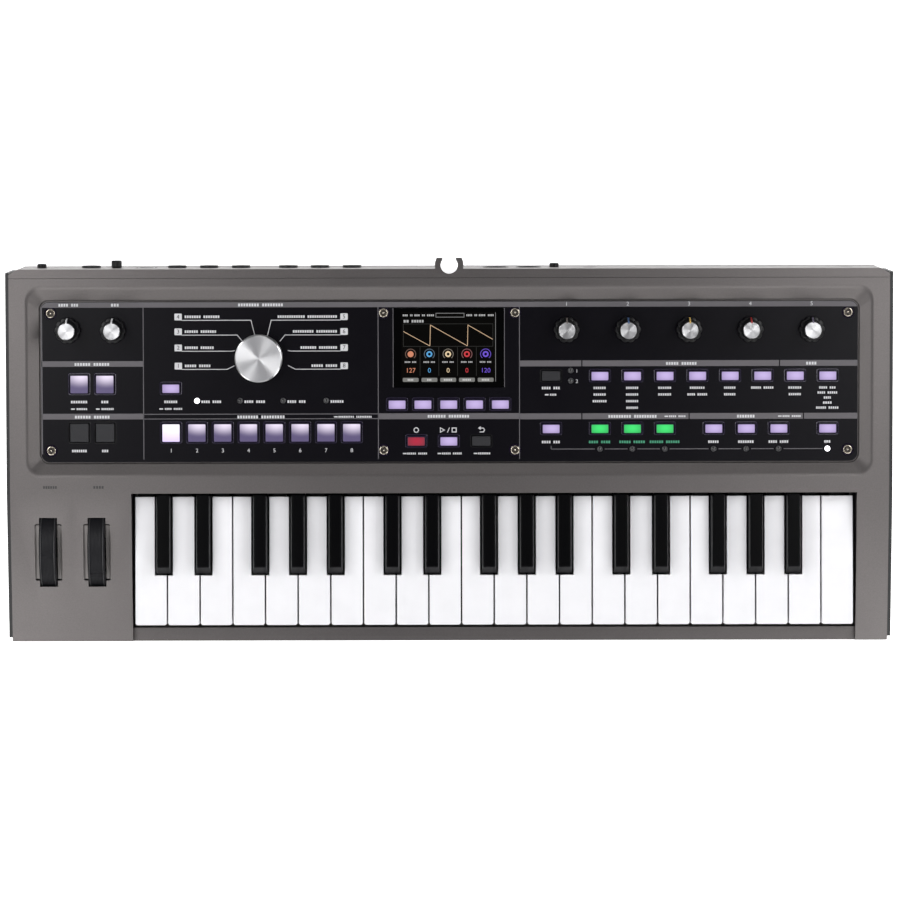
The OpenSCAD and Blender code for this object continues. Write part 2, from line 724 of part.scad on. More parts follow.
module program_dial() {
    color([0.78, 0.78, 0.79]) on_panel(dial_place) {
        translate([0, 0, knob_lift]) cylinder(r = dial_r - 0.5, h = 1.5, $fn = 96);
        translate([0, 0, knob_lift + 1]) cylinder(r = dial_r, h = dial_h - knob_lift - 1.6,
                                                  $fn = 96);
        translate([0, 0, dial_h - 0.6 - eps]) cylinder(r1 = dial_r, r2 = dial_r - 0.6,
                                                       h = 0.6 + eps, $fn = 96);
        translate([0, 0, shaft_bottom]) cylinder(r = shaft_r, h = -shaft_bottom + knob_lift
                                                 + cut);
    }
}

// A knob with a scalloped skirt, a round grip, a metal cap and its shaft.
module knob(place) {
    skirt_h = 4;
    grip_r = knob_r - 1.2;
    cap_r = 5;
    lobes = 10;
    color([0.08, 0.08, 0.085]) on_panel(place) {
        difference() {
            translate([0, 0, knob_lift]) cylinder(r = knob_r, h = skirt_h - knob_lift);
            for (i = [0:lobes - 1]) rotate([0, 0, (i + 0.5)*360/lobes])
                translate([knob_r + 1.2, 0, 0]) cylinder(r = 2, h = skirt_h + cut);
        }
        translate([0, 0, skirt_h - eps]) cylinder(r1 = grip_r, r2 = cap_r + 0.5, h = knob_h
                                                  - skirt_h - 0.5);
        translate([0, 0, knob_h - 0.6]) cylinder(r = cap_r, h = 0.6);
        translate([0, 0, shaft_bottom]) cylinder(r = shaft_r, h = -shaft_bottom + knob_lift
                                                 + cut);
    }
}

module rear_level_knob() {
    reach = (rear_y - rear_wall_y(socket_z))/cos(rear_lean) - level_knob_r*tan(rear_lean);
    color([0.06, 0.06, 0.065]) on_rear(level_knob_x) {
        translate([0, 0, 0.5]) cylinder(r = level_knob_r, h = reach - 0.5);
        translate([0, 0, -11.5]) cylinder(r = shaft_r, h = 12.5);
    }
}

module rear_buttons() {
    color([0.06, 0.06, 0.065]) for (x = rear_button_x) on_rear(x)
        translate([0, 0, -5]) cylinder(r = rear_button_r, h = 5 + rear_button_rise);
}

// A button cap of the given depth with its retaining flange and stem.
module button(d) {
    flange = 0.9;
    flange_t = 0.8;
    stem = 4;
    translate([-square_cap/2, -d/2, -panel_t - 0.2]) cube([square_cap, d,
                                                           panel_t + 0.2 + button_rise]);
    translate([-square_cap/2 - flange, -d/2 - flange, -panel_t - 0.1 - flange_t])
        cube([square_cap + 2*flange, d + 2*flange, flange_t]);
    translate([-stem/2, -stem/2, stem_bottom]) cube([stem, stem, -panel_t - stem_bottom]);
}

module panel_buttons() {
    color([0.7, 0.66, 0.8]) {
        for (place = square_places) on_panel(place) button(square_cap);
        for (place = small_places) on_panel(place) button(small_cap_d);
    }
}

// The rear part of a key that turns on the rod, centred on x.
module shank(x, front_y) {
    difference() {
        block([x - shank_w/2, front_y, shank_bottom_z], [x + shank_w/2, tail_y, shank_top_z]);
        translate([x - shank_w, pivot[0], pivot[1]]) rotate([0, 90, 0])
            cylinder(r = rod_r + run_gap, h = 2*shank_w);
    }
}

module white_key(i) {
    x = white_x(i);
    left = x + key_gap/2;
    right = x + white_pitch - key_gap/2;
    inner_z = white_z - 2.5;
    color([0.95, 0.95, 0.95]) {
        difference() {
            union() {
                block([left, key_front_y, key_bottom_z], [right, neck_front_y, white_z]);
                block([x + neck_left(i), neck_front_y - eps, key_bottom_z],
                      [x + neck_right(i), neck_rear_y, white_z]);
            }
            block([left + key_wall, key_front_y + key_wall, key_bottom_z - cut],
                  [right - key_wall, neck_front_y - key_wall, inner_z]);
            block([x + neck_left(i) + key_wall, bar_y[1], key_bottom_z - cut],
                  [x + neck_right(i) - key_wall, neck_rear_y - key_wall, inner_z]);
            block([x + neck_left(i) + key_wall, neck_front_y, key_bottom_z - cut],
                  [x + neck_right(i) - key_wall, bar_y[0], inner_z]);
        }
        shank(white_mid_x(i), neck_rear_y - key_wall);
    }
}

module black_key(i) {
    x = black_mid_x(i);
    base_z = shank_bottom_z + 4;
    foot_w = 6;
    color([0.06, 0.06, 0.065]) {
        intersection() {
            along_x(x - black_base_w/2, x + black_base_w/2)
                polygon([[black_front_y, base_z], [black_front_y, white_z - 1],
                         [black_front_y + black_slope, black_z], [black_rear_y, black_z],
                         [black_rear_y, base_z]]);
            translate([x, black_rear_y + cut, 0]) rotate([90, 0, 0])
                linear_extrude(black_rear_y - black_front_y + 2*cut)
                polygon([[-black_base_w/2, base_z - cut], [black_base_w/2, base_z - cut],
                         [black_base_w/2, white_z - 1], [black_top_w/2, black_z + eps],
                         [-black_top_w/2, black_z + eps], [-black_base_w/2, white_z - 1]]);
        }
        block([x - foot_w/2, bar_y[0], key_bottom_z], [x + foot_w/2, bar_y[1], base_z + 1]);
        shank(x, black_rear_y - 6);
    }
}

top_case();
bottom_case();
rear_panel();
end_panels();
rubber_feet();
control_panel();
panel_screws();
display_module();
circuit_boards();
keybed_chassis();
pitch_wheel();
mod_wheel();
program_dial();
for (i = [0:len(KNOBS) - 1])
    knob([knob_x[i], knob_row]);
rear_level_knob();
rear_buttons();
panel_buttons();
for (i = WHITES) white_key(i);
for (i = BLACKS) black_key(i);
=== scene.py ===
import json
import math

import bmesh
import bpy
from mathutils import Matrix, Vector


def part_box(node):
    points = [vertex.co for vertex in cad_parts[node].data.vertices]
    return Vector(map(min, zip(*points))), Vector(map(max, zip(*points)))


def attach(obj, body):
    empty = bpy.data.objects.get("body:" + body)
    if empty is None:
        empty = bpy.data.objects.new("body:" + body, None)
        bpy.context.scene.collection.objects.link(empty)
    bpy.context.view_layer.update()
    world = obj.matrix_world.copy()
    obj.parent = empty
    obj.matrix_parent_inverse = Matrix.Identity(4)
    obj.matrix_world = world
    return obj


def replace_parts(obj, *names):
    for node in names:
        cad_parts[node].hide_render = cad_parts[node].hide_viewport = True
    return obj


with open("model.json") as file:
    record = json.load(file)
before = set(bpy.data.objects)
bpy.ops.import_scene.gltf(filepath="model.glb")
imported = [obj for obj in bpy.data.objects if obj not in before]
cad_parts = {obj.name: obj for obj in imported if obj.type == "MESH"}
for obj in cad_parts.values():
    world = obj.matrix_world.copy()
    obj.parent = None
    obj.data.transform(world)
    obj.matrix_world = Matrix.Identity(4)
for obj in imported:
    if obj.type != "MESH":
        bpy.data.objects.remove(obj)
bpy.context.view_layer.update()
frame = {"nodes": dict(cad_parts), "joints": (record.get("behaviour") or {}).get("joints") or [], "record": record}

# All shapes are drawn in millimetres and scaled to metres when they become objects.
MM = 0.001
SCENE = bpy.context.scene
NODES = frame["nodes"]
JOINTS = {joint["name"]: joint for joint in frame["joints"]}


def box_mm(node):
    """Both corners of a node's box, in millimetres."""
    low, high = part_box(node)
    return low / MM, high / MM


def anchor_mm(joint):
    """Where a joint is anchored, in millimetres."""
    return Vector(JOINTS[joint]["pos_m"]) / MM


def middle_x(node):
    """Middle X of a node's box."""
    low, high = box_mm(node)
    return (low.x + high.x)/2


def half_width(node):
    """Half the width of a node's box."""
    low, high = box_mm(node)
    return (high.x - low.x)/2


# ---------------------------------------------------------------- places from the frame

PANEL_AXIS = Vector(JOINTS["program_dial_turn"]["axis"])
PANEL_TILT = math.atan2(-PANEL_AXIS.y, PANEL_AXIS.z)
plate_low, plate_high = box_mm("control_panel")
PLATE_W = plate_high.x - plate_low.x
tilt_cos = math.cos(PANEL_TILT)
tilt_sin = math.sin(PANEL_TILT)
plate_y = plate_high.y - plate_low.y
plate_z = plate_high.z - plate_low.z
PLATE_T = (plate_z*tilt_cos - plate_y*tilt_sin)/(tilt_cos**2 - tilt_sin**2)
PLATE_D = (plate_y - PLATE_T*tilt_sin)/tilt_cos
panel_origin = (plate_low + plate_high)/2 + PANEL_AXIS*PLATE_T/2
# The panel frame: its origin is the middle of the plate's top face, Z points out of it.
PANEL = Matrix.Translation(panel_origin) @ Matrix.Rotation(PANEL_TILT, 4, "X")
TO_PANEL = PANEL.inverted()

top_low, top_high = box_mm("top_case")
HALF_W = top_high.x
FRONT_Y = top_low.y
STRIP_Y = top_high.y
SEAM_Z = top_low.z
PLATE_R = 4.8
PLATE_GAP = 0.8
DISH_DEPTH = 3.6
DISH_HALF_W = 251.0
DISH_FRONT = -55.6
DISH_REAR = 56.4
DISH_R = 8.5
DISH_STEPS = 10
LEDGE_Z = -PLATE_T - 0.1
WALL = 2.5
CREASE_Y = -25.6
FRONT_TILT = math.radians(11)
CREASE_V = (CREASE_Y - panel_origin.y + DISH_DEPTH*tilt_sin)/tilt_cos
REAR_V = (STRIP_Y - panel_origin.y + DISH_DEPTH*tilt_sin)/tilt_cos
CREASE_Z = (PANEL @ Vector((0, CREASE_V, DISH_DEPTH))).z
# The frame of the slope in front of the crease.
FRONT = Matrix.Translation((0, CREASE_Y, CREASE_Z)) @ Matrix.Rotation(FRONT_TILT, 4, "X")
FRONT_V = (FRONT_Y - CREASE_Y)/math.cos(FRONT_TILT)
OPEN_X = (-189.5, 242.5)
OPEN_FRONT_Y = -106.1
LIP_Z = 27.0
KEY_BOTTOM_Z = 22.0
TAIL_Z = (26.0, 35.0)
BLACK_SLOT = 10.6
NECK_FRONT_Y = -74.5
NECK_REAR_Y = -27.6
pitch_x = middle_x("pitch_wheel")
mod_x = middle_x("mod_wheel")
WHEEL_MARKS = (pitch_x, (pitch_x + mod_x)/2, mod_x)


def on_panel(x=0.0, y=0.0, z=0.0):
    """The panel's frame moved along its own axes."""
    return PANEL @ Matrix.Translation((x, y, z))


def on_shaft(joint):
    """The panel's frame moved to a joint of the panel."""
    return Matrix.Translation(anchor_mm(joint)) @ Matrix.Rotation(PANEL_TILT, 4, "X")


# ---------------------------------------------------------------- mesh helpers

def add_object(name, bm, material, body="case", at=None, slot=None, sharp=32, weld=True):
    """Turns a bmesh in millimetres into a piece that rides on a body."""
    if weld:
        bmesh.ops.remove_doubles(bm, verts=bm.verts, dist=1e-4)
    bmesh.ops.recalc_face_normals(bm, faces=bm.faces)
    bm.transform(Matrix.Scale(MM, 4))
    mesh = bpy.data.meshes.new(name)
    bm.to_mesh(mesh)
    bm.free()
    mesh.materials.append(material)
    for polygon in mesh.polygons:
        polygon.use_smooth = True
    mesh.set_sharp_from_angle(angle=math.radians(sharp))
    piece = bpy.data.objects.new(name, mesh)
    SCENE.collection.objects.link(piece)
    if at is not None:
        place = at.copy()
        place.translation = at.translation*MM
        piece.matrix_world = place
    even = piece.modifiers.new("even_shading", "WEIGHTED_NORMAL")
    even.keep_sharp = True
    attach(piece, body)
    return piece


def facet(bm, points, place=None):
    """One face through points, which may be given in another frame."""
    points = [place @ Vector(point) if place else point for point in points]
    return bm.faces.new([bm.verts.new(point) for point in points])


def ribbon(bm, first, second, closed=True):
    """Faces between two loops of vertices. Either of them may be a single vertex."""
    count = max(len(first), len(second))
    for i in range(count if closed else count - 1):
        j = (i + 1) % count
        corners = [first[i], first[j]] if len(first) > 1 else list(first)
        corners += [second[j], second[i]] if len(second) > 1 else list(second)
        bm.faces.new(corners)


def loft(bm, loops):
    """Joins loops one after another and closes both ends. Returns the faces at the ends."""
    for first, second in zip(loops, loops[1:]):
        ribbon(bm, first, second)
    return [bm.faces.new(loop) for loop in (loops[0][::-1], loops[-1]) if len(loop) > 1]


def prism(bm, outline, z0, z1):
    """A closed solid over an outline of (x, y) points. Returns its top face."""
    return loft(bm, [[bm.verts.new((x, y, z)) for x, y in outline] for z in (z0, z1)])[1]


def block(bm, x0, x1, y0, y1, z0, z1):
    """A rectangular solid between pairs of X, Y and Z."""
    prism(bm, [(x0, y0), (x1, y0), (x1, y1), (x0, y1)], z0, z1)


def round_edges(bm, edges, radius, segments=3):
    """Rounds edges of a solid."""
    bmesh.ops.bevel(bm, geom=list(set(edges)), offset=radius, segments=segments, profile=0.5,
                    affect="EDGES", clamp_overlap=True)


def rounded(w, d, r, steps=6, cx=0.0, cy=0.0):
    """The outline of a rectangle with round corners, anticlockwise."""
    points = []
    for quarter, (sx, sy) in enumerate(((1, 1), (-1, 1), (-1, -1), (1, -1))):
        for i in range(steps + 1):
            angle = math.radians(90*(quarter + i/steps))
            points.append((cx + sx*(w/2 - r) + r*math.cos(angle),
                           cy + sy*(d/2 - r) + r*math.sin(angle)))
    return points


def lathe(bm, profile, count=64, shape=None, at=(0.0, 0.0)):
    """Turns a profile of (radius, z) points round Z. shape(r, z, angle) may scale a radius."""
    rings = []
    for r, z in profile:
        ring = []
        for i in range(count if r > 0 else 1):
            angle = 2*math.pi*i/count
            reach = r*shape(r, z, angle) if shape else r
            ring.append(bm.verts.new((at[0] + reach*math.cos(angle),
                                      at[1] + reach*math.sin(angle), z)))
        rings.append(ring)
    loft(bm, rings)


def turned(name, profile, count, material, **where):
    """A piece turned from one profile."""
    bm = bmesh.new()
    lathe(bm, profile, count)
    return add_object(name, bm, material, **where)


def printed(name, bm, material):
    """Printing or trim that lies on the panel."""
    add_object(name, bm, material, at=PANEL, slot="panel_black")


def strip(bm, points, width, z0, z1, closed=False):
    """A thin solid line of even width through points, with mitred corners."""
    knots = [Vector(point) for point in points]
    count = len(knots)
    spans = count if closed else count - 1
    steps = [(knots[(i + 1) % count] - knots[i]).normalized() for i in range(spans)]
    sides = []
    for i, knot in enumerate(knots):
        step_in = steps[i - 1] if closed or i > 0 else steps[0]
        along = (step_in + steps[min(i, spans - 1)]).normalized()
        spread = max(0.35, abs(along.dot(step_in)))
        across = Vector((-along.y, along.x))*width/2/spread
        sides.append((knot - across, knot + across))
    for i in range(spans):
        (right, left), (next_right, next_left) = sides[i], sides[(i + 1) % count]
        prism(bm, (right, next_right, next_left, left), z0, z1)


def letters(bm, text, size, x, y, z0, z1):
    """Digits in the built-in font as a solid, centred on (x, y)."""
    curve = bpy.data.curves.new("digits", "FONT")
    curve.body = text
    curve.size = size
    curve.align_x = "CENTER"
    curve.align_y = "CENTER"
    curve.extrude = (z1 - z0)/2
    holder = bpy.data.objects.new("digits", curve)
    mesh = bpy.data.meshes.new_from_object(holder)
    mesh.transform(Matrix.Translation((x, y, (z0 + z1)/2)))
    bm.from_mesh(mesh)
    bpy.data.meshes.remove(mesh)
    bpy.data.objects.remove(holder)
    bpy.data.curves.remove(curve)


# ---------------------------------------------------------------- materials

def rgba(color, scale=1.0):
    """A colour with full alpha, made darker or lighter by scale."""
    return tuple(c*scale for c in color) + (1.0,)


class Material:
    """A node material whose colour, roughness and bump vary with fine and coarse noise."""

    def __init__(self, name, color, roughness=0.5, metallic=0.0, coat=0.0, specular=0.5):
        self.data = bpy.data.materials.new(name)
        self.data.use_nodes = True
        self.data.diffuse_color = rgba(color)
        self.tree = self.data.node_tree
        self.color = color
        self.roughness = roughness
        self.shade({"Base Color": rgba(color), "Roughness": roughness, "Metallic": metallic,
                    "Coat Weight": coat, "Coat Roughness": 0.08, "Specular IOR Level": specular})
        self.coords = self.node("ShaderNodeTexCoord").outputs["Object"]

    def feed(self, made, inputs):
        """Sets the inputs of a node to plain values, or links them to outputs."""
        for key, value in inputs.items():
            if isinstance(value, bpy.types.NodeSocket):
                self.tree.links.new(value, made.inputs[key])
            else:
                made.inputs[key].default_value = value

    def shade(self, inputs):
        """Feeds the inputs of the surface shader."""
        self.feed(self.tree.nodes["Principled BSDF"], inputs)

    def node(self, kind, inputs=None, **settings):
        """A new node with its settings and its inputs."""
        made = self.tree.nodes.new(kind)
        for key, value in settings.items():
            setattr(made, key, value)
        self.feed(made, inputs or {})
        return made

    def noise(self, size, detail=2.0, rough=0.5):
        """Noise whose blotches are about size millimetres wide."""
        inputs = {"Scale": 1/(size*MM), "Detail": detail, "Roughness": rough,
                  "Vector": self.coords}
        return self.node("ShaderNodeTexNoise", inputs).outputs["Fac"]

    def math(self, kind, a, b):
        """Arithmetic on node outputs."""
        return self.node("ShaderNodeMath", {0: a, 1: b}, operation=kind).outputs[0]

    def between(self, factor, low, high):
        """Maps a 0 to 1 factor to low to high."""
        inputs = {"Value": factor, "To Min": low, "To Max": high}
        return self.node("ShaderNodeMapRange", inputs).outputs["Result"]

    def mix(self, factor, first, second):
        """Mixes two colours."""
        inputs = {0: factor, 6: first, 7: second}
        return self.node("ShaderNodeMix", inputs, data_type="RGBA").outputs[2]

    def mottled(self, size=14.0, amount=0.05):
        """Varies the colour and the roughness in soft blotches."""
        blotch = self.noise(size, detail=4.0)
        self.base = self.mix(blotch, rgba(self.color, 1 - amount), rgba(self.color, 1 + amount))
        rough = self.between(blotch, self.roughness - 0.04, self.roughness + 0.04)
        self.shade({"Base Color": self.base, "Roughness": rough})
        return self

    def grained(self, size=0.5, depth=0.02, strength=0.4):
        """Moulded or sprayed texture as a bump of depth millimetres."""
        inputs = {"Strength": strength, "Distance": depth*MM,
                  "Height": self.noise(size, detail=3.0)}
        self.shade({"Normal": self.node("ShaderNodeBump", inputs).outputs["Normal"]})
        return self

    def lit(self, color, strength):
        """Makes the surface glow."""
        self.shade({"Emission Color": rgba(color), "Emission Strength": strength})
        return self


def plain(name, color, roughness=0.5, metallic=0.0, grain=0.5, depth=0.01, **more):
    """The everyday finish: soft blotches and a fine grain."""
    made = Material(name, color, roughness, metallic, **more)
    made.mottled()
    made.grained(grain, depth)
    return made.data


def metallic_paint(name, color):
    """Satin paint with fine metal flakes under it."""
    made = Material(name, color, roughness=0.4, metallic=0.85, specular=0.4)
    made.mottled(size=30.0, amount=0.03)
    grit = made.noise(0.7, detail=3.0, rough=0.7)
    flakes = made.mix(grit, rgba(color, 0.6), rgba(color, 1.45))
    made.shade({"Base Color": made.mix(0.5, made.base, flakes)})
    made.grained(size=0.4, depth=0.006, strength=0.25)
    return made.data


def spun_metal(name, color, roughness):
    """Turned metal: fine rings round the piece's own Z axis, which stretch its highlights."""
    made = Material(name, color, roughness, metallic=1.0)
    tangent = made.node("ShaderNodeTangent", direction_type="RADIAL", axis="Z")
    grooves = {"Scale": 1/(0.45*MM), "Distortion": 0.6, "Vector": made.coords}
    rings = made.node("ShaderNodeTexWave", grooves, wave_type="RINGS", rings_direction="Z")
    shade = made.between(rings.outputs["Fac"], 0.92, 1.0)
    tinted = made.node("ShaderNodeVectorMath", {0: color, "Scale": shade}, operation="SCALE")
    made.shade({"Base Color": tinted.outputs[0], "Tangent": tangent.outputs["Tangent"],
                "Anisotropic": 0.85, "Anisotropic Rotation": 0.25})
    return made.data


def glow_cap(name, bright, dim, strength=1.0, reach=9.0, source=(0.8, 4.6)):
    """A translucent cap lit from behind: bright near the lamp, dimmer away from it."""
    made = Material(name, (0.02, 0.02, 0.022), roughness=0.35, coat=0.05, specular=0.25)
    made.mottled(size=3.0, amount=0.05)
    flat = made.node("ShaderNodeVectorMath", {0: made.coords, 1: (0.65, 1.0, 0.0)},
                     operation="MULTIPLY")
    lamp_place = (source[0]*MM, source[1]*MM, 0.0)
    away = made.node("ShaderNodeVectorMath", {0: flat.outputs[0], 1: lamp_place},
                     operation="DISTANCE")
    fall = made.node("ShaderNodeMapRange", {"From Max": reach*MM, "Value": away.outputs["Value"]},
                     interpolation_type="SMOOTHSTEP")
    color = made.mix(fall.outputs["Result"], rgba(bright), rgba(dim))
    made.shade({"Emission Color": color, "Emission Strength": strength})
    made.grained(size=0.6, depth=0.01, strength=0.2)
    return made.data


def board_material():
    """Green solder mask on the boards, black plastic on the sockets behind them."""
    made = Material("board_and_sockets", (0.012, 0.10, 0.045), roughness=0.4)
    made.mottled(size=5.0, amount=0.15)
    place = made.node("ShaderNodeSeparateXYZ", {0: made.coords}).outputs
    behind = made.math("GREATER_THAN", place["Y"], SOCKET_BLOCK_Y*MM)
    low = made.math("LESS_THAN", place["Z"], SOCKET_BLOCK_Z[1]*MM)
    raised = made.math("GREATER_THAN", place["Z"], SOCKET_BLOCK_Z[0]*MM)
    socket = made.math("MULTIPLY", made.math("MULTIPLY", behind, low), raised)
    made.shade({"Base Color": made.mix(socket, made.base, (0.012, 0.012, 0.013, 1.0))})
    made.grained(size=0.8, depth=0.03)
    return made.data


# The part of the circuit boards' node that is sockets: behind this Y, between these Z.
SOCKET_BLOCK_Y = 92.5
SOCKET_BLOCK_Z = (22.2, 44.5)

CASE = metallic_paint("case_paint", (0.146, 0.135, 0.133))
# A lighter, less metallic copy of the case paint for the finger scoops: painted light on scoops that have the
# case's own paint.
SCOOP_PAINTED_LIGHT = plain("scoop_painted_light", (0.33, 0.31, 0.30), roughness=0.4, metallic=0.15)
PANEL_BLACK = plain("panel_black", (0.0014, 0.0010, 0.0028), roughness=0.33, grain=0.35,
                    depth=0.003, specular=0.14)
BAND = plain("band_print", (0.120, 0.113, 0.122), roughness=0.45, specular=0.3)
# Grey of the printed rules, also used for a painted highlight along the plate's left edge.
RULE_AND_EDGE_HIGHLIGHT = plain("rule_print_and_edge_highlight", (0.115, 0.11, 0.12), roughness=0.5, specular=0.3)
WHITE_PRINT = plain("white_print", (0.62, 0.62, 0.64), roughness=0.5)
GREEN_PRINT = plain("green_print", (0.05, 0.30, 0.17), roughness=0.5)
DARK_PRINT = plain("dark_print", (0.035, 0.034, 0.034), roughness=0.5)
KEY_WHITE = plain("key_white", (0.93, 0.925, 0.95), roughness=0.3, grain=2.5, depth=0.004)
KEY_BLACK = plain("key_black", (0.0008, 0.0008, 0.0012), roughness=0.32, grain=0.5, depth=0.01,
                  specular=0.08)
# A rougher, lighter black for the black keys' front slopes. The lighter black is painted light falling on them.
KEY_BLACK_FRONT_PAINTED_LIGHT = plain("key_black_front_painted_light", (0.004, 0.004, 0.005), roughness=0.5, grain=0.9,
                        depth=0.05, specular=0.2)
END_BLACK = plain("end_black", (0.010, 0.010, 0.011), roughness=0.45, grain=0.6, depth=0.03)
RUBBER = plain("rubber", (0.014, 0.014, 0.014), roughness=0.85, grain=0.7, depth=0.05)
KNOB_BLACK = plain("knob_black", (0.004, 0.004, 0.0045), roughness=0.36, grain=0.5, depth=0.01,
                   specular=0.3)
WHEEL_BLACK = plain("wheel_black", (0.006, 0.006, 0.008), roughness=0.5, grain=0.4, depth=0.03,
                    specular=0.25)
# A lighter grey for thin bands on the crests of the wheel rims: painted highlight.
WHEEL_RIM_HIGHLIGHT = plain("wheel_rim_highlight", (0.04, 0.04, 0.042), roughness=0.4, grain=0.4, depth=0.02)
# Black plastic of the chassis and the wheel hubs. On the white keys' tails this black is painted shade.
CHASSIS_AND_TAIL_SHADE = plain("chassis_plastic_and_tail_shade", (0.004, 0.004, 0.0045), roughness=0.7, grain=0.8, depth=0.04)
DARK_CAP = plain("dark_cap", (0.026, 0.026, 0.029), roughness=0.5, grain=0.5, depth=0.01,
                 specular=0.25)
# Dark purple for the sides of lit caps: painted glow of the lamps inside them. Unlit caps take DARK_CAP.
CAP_SURROUND = plain("cap_surround", (0.012, 0.008, 0.028), roughness=0.25, grain=0.6, depth=0.01)
# Dark purple rims round the holes of lit buttons: painted glow from their lamps. DARK_WELL is the same rim round
# unlit buttons. The screw recess rings reuse this material.
WELL = plain("button_well", (0.014, 0.009, 0.030), roughness=0.2, grain=0.8, depth=0.004,
             specular=0.8)
DARK_WELL = plain("dark_button_well", (0.004, 0.004, 0.005), roughness=0.3, grain=0.8,
                  depth=0.004, specular=0.3)
BEZEL = plain("lamp_bezel", (0.07, 0.07, 0.074), roughness=0.4)
UNLIT = plain("unlit_lamp", (0.012, 0.012, 0.013), roughness=0.3, coat=0.5)
# Dark brown that fills the screws' cross recesses: painted shade.
RECESS_SHADE = plain("screw_recess", (0.022, 0.015, 0.010), roughness=0.5)
SCREW = plain("screw_nickel", (0.58, 0.53, 0.45), roughness=0.26, metallic=1.0, grain=1.0,
              depth=0.004)
NUT_METAL = plain("nut_metal", (0.42, 0.42, 0.43), roughness=0.3, metallic=1.0, grain=1.0,
                  depth=0.004)
SOCKET_BLACK = plain("socket_black", (0.012, 0.012, 0.013), roughness=0.4)
GLASS = plain("display_glass", (0.0008, 0.0008, 0.0009), roughness=0.12, grain=20.0, depth=0.001,
              specular=0.06)
SPUN = spun_metal("spun_aluminium", (0.97, 0.97, 0.98), roughness=0.28)
CAP_METAL = spun_metal("spun_cap", (0.64, 0.64, 0.65), roughness=0.34)
BOARD = board_material()


CAD_PAINT = {
    "bottom_case": CASE, "rear_panel": CASE, "end_panels": END_BLACK,
    "control_panel": PANEL_BLACK, "display_module": GLASS, "circuit_boards": BOARD,
    "keybed_chassis": CHASSIS_AND_TAIL_SHADE,
}
# The CAD nodes that stay visible take their materials here.
for cad_node, cad_paint in CAD_PAINT.items():
    NODES[cad_node].data.materials.clear()
    NODES[cad_node].data.materials.append(cad_paint)

# ---------------------------------------------------------------- top of the case

def bezier(p0, p1, p2, steps):
    """Points on a quadratic curve."""
    points = []
    for i in range(steps + 1):
        s = i/steps
        points.append(tuple((1 - s)**2*a + 2*s*(1 - s)*b + s*s*c for a, b, c in zip(p0, p1, p2)))
    return points


def dish_loop(bm, share, w):
    """A loop of the dish's side: share is 0 at its outer edge and 1 round the plate."""
    half_w = DISH_HALF_W + (PLATE_W/2 + PLATE_GAP - DISH_HALF_W)*share
    rear = DISH_REAR + (PLATE_D/2 + PLATE_GAP - DISH_REAR)*share
    front = DISH_FRONT + (-PLATE_D/2 - PLATE_GAP - DISH_FRONT)*share
    r = DISH_R + (PLATE_R + PLATE_GAP - DISH_R)*share
    outline = rounded(2*half_w, rear - front, max(r, 0.5), DISH_STEPS, 0.0, (rear + front)/2)
    return [bm.verts.new(PANEL @ Vector((x, y, w))) for x, y in outline]


def dish(bm):
    """The side of the dish and the ledge under the plate. Returns the dish's outer edge."""
    fillet = 0.16
    profile = bezier((-fillet, DISH_DEPTH), (0, DISH_DEPTH), (fillet, DISH_DEPTH*(1 - fillet)), 5)
    profile += bezier((0.93, DISH_DEPTH*0.07), (1, 0), (1, -0.45), 3)
    profile.append((1, LEDGE_Z))
    loops = [dish_loop(bm, share, w) for share, w in profile]
    ledge = rounded(PLATE_W - 8, PLATE_D - 8, PLATE_R, DISH_STEPS)
    loops.append([bm.verts.new(PANEL @ Vector((x, y, LEDGE_Z))) for x, y in ledge])
    for outer, inner in zip(loops, loops[1:]):
        ribbon(bm, outer, inner)
    return loops[0]


def flat_round_dish(bm, outer):
    """The flat from the crease to the seam in front of the rear strip."""
    def flat(x, v):
        return bm.verts.new(PANEL @ Vector((x, v, DISH_DEPTH)))

    corners = [flat(HALF_W, REAR_V), flat(-HALF_W, REAR_V), flat(-HALF_W, CREASE_V),
               flat(HALF_W, CREASE_V)]
    marks = [flat(x, CREASE_V) for x in WHEEL_MARKS + OPEN_X]
    span = DISH_STEPS + 1
    for k in range(4):
        following = (k + 1) % 4
        bend = outer[k*span:(k + 1)*span]
        bm.faces.new([corners[k]] + bend[::-1])
        edge = [corners[k]] + (marks if k == 2 else []) + [corners[following]]
        bm.faces.new([bend[-1], outer[following*span]] + edge[::-1])


def case_walls(bm):
    """Sides and front of the top case, and the walls of the key opening."""
    left, right = OPEN_X
    z_front = (FRONT @ Vector((0, FRONT_V, 0))).z
    z_strip = (PANEL @ Vector((0, REAR_V, DISH_DEPTH))).z
    pit_z = KEY_BOTTOM_Z - WALL
    side = [(FRONT_Y, SEAM_Z), (STRIP_Y, SEAM_Z), (STRIP_Y, z_strip), (CREASE_Y, CREASE_Z),
            (FRONT_Y, z_front)]
    cheek = [(FRONT_Y, z_front), (CREASE_Y, CREASE_Z), (CREASE_Y, pit_z), (OPEN_FRONT_Y, pit_z),
             (OPEN_FRONT_Y, LIP_Z), (FRONT_Y, LIP_Z)]
    for outline, places in ((side, (-HALF_W, HALF_W)), (cheek, OPEN_X)):
        for x in places:
            facet(bm, [(x, y, z) for y, z in outline])
    front = [(-HALF_W, SEAM_Z), (HALF_W, SEAM_Z), (HALF_W, z_front), (right, z_front),
             (right, LIP_Z), (left, LIP_Z), (left, z_front)]
    front += [(x, z_front) for x in WHEEL_MARKS[::-1]] + [(-HALF_W, z_front)]
    facet(bm, [(x, FRONT_Y, z) for x, z in front])
    lip = [(FRONT_Y, LIP_Z), (OPEN_FRONT_Y, LIP_Z), (OPEN_FRONT_Y, pit_z)]
    for near, far in zip(lip, lip[1:]):
        facet(bm, [(left, *near), (right, *near), (right, *far), (left, *far)])


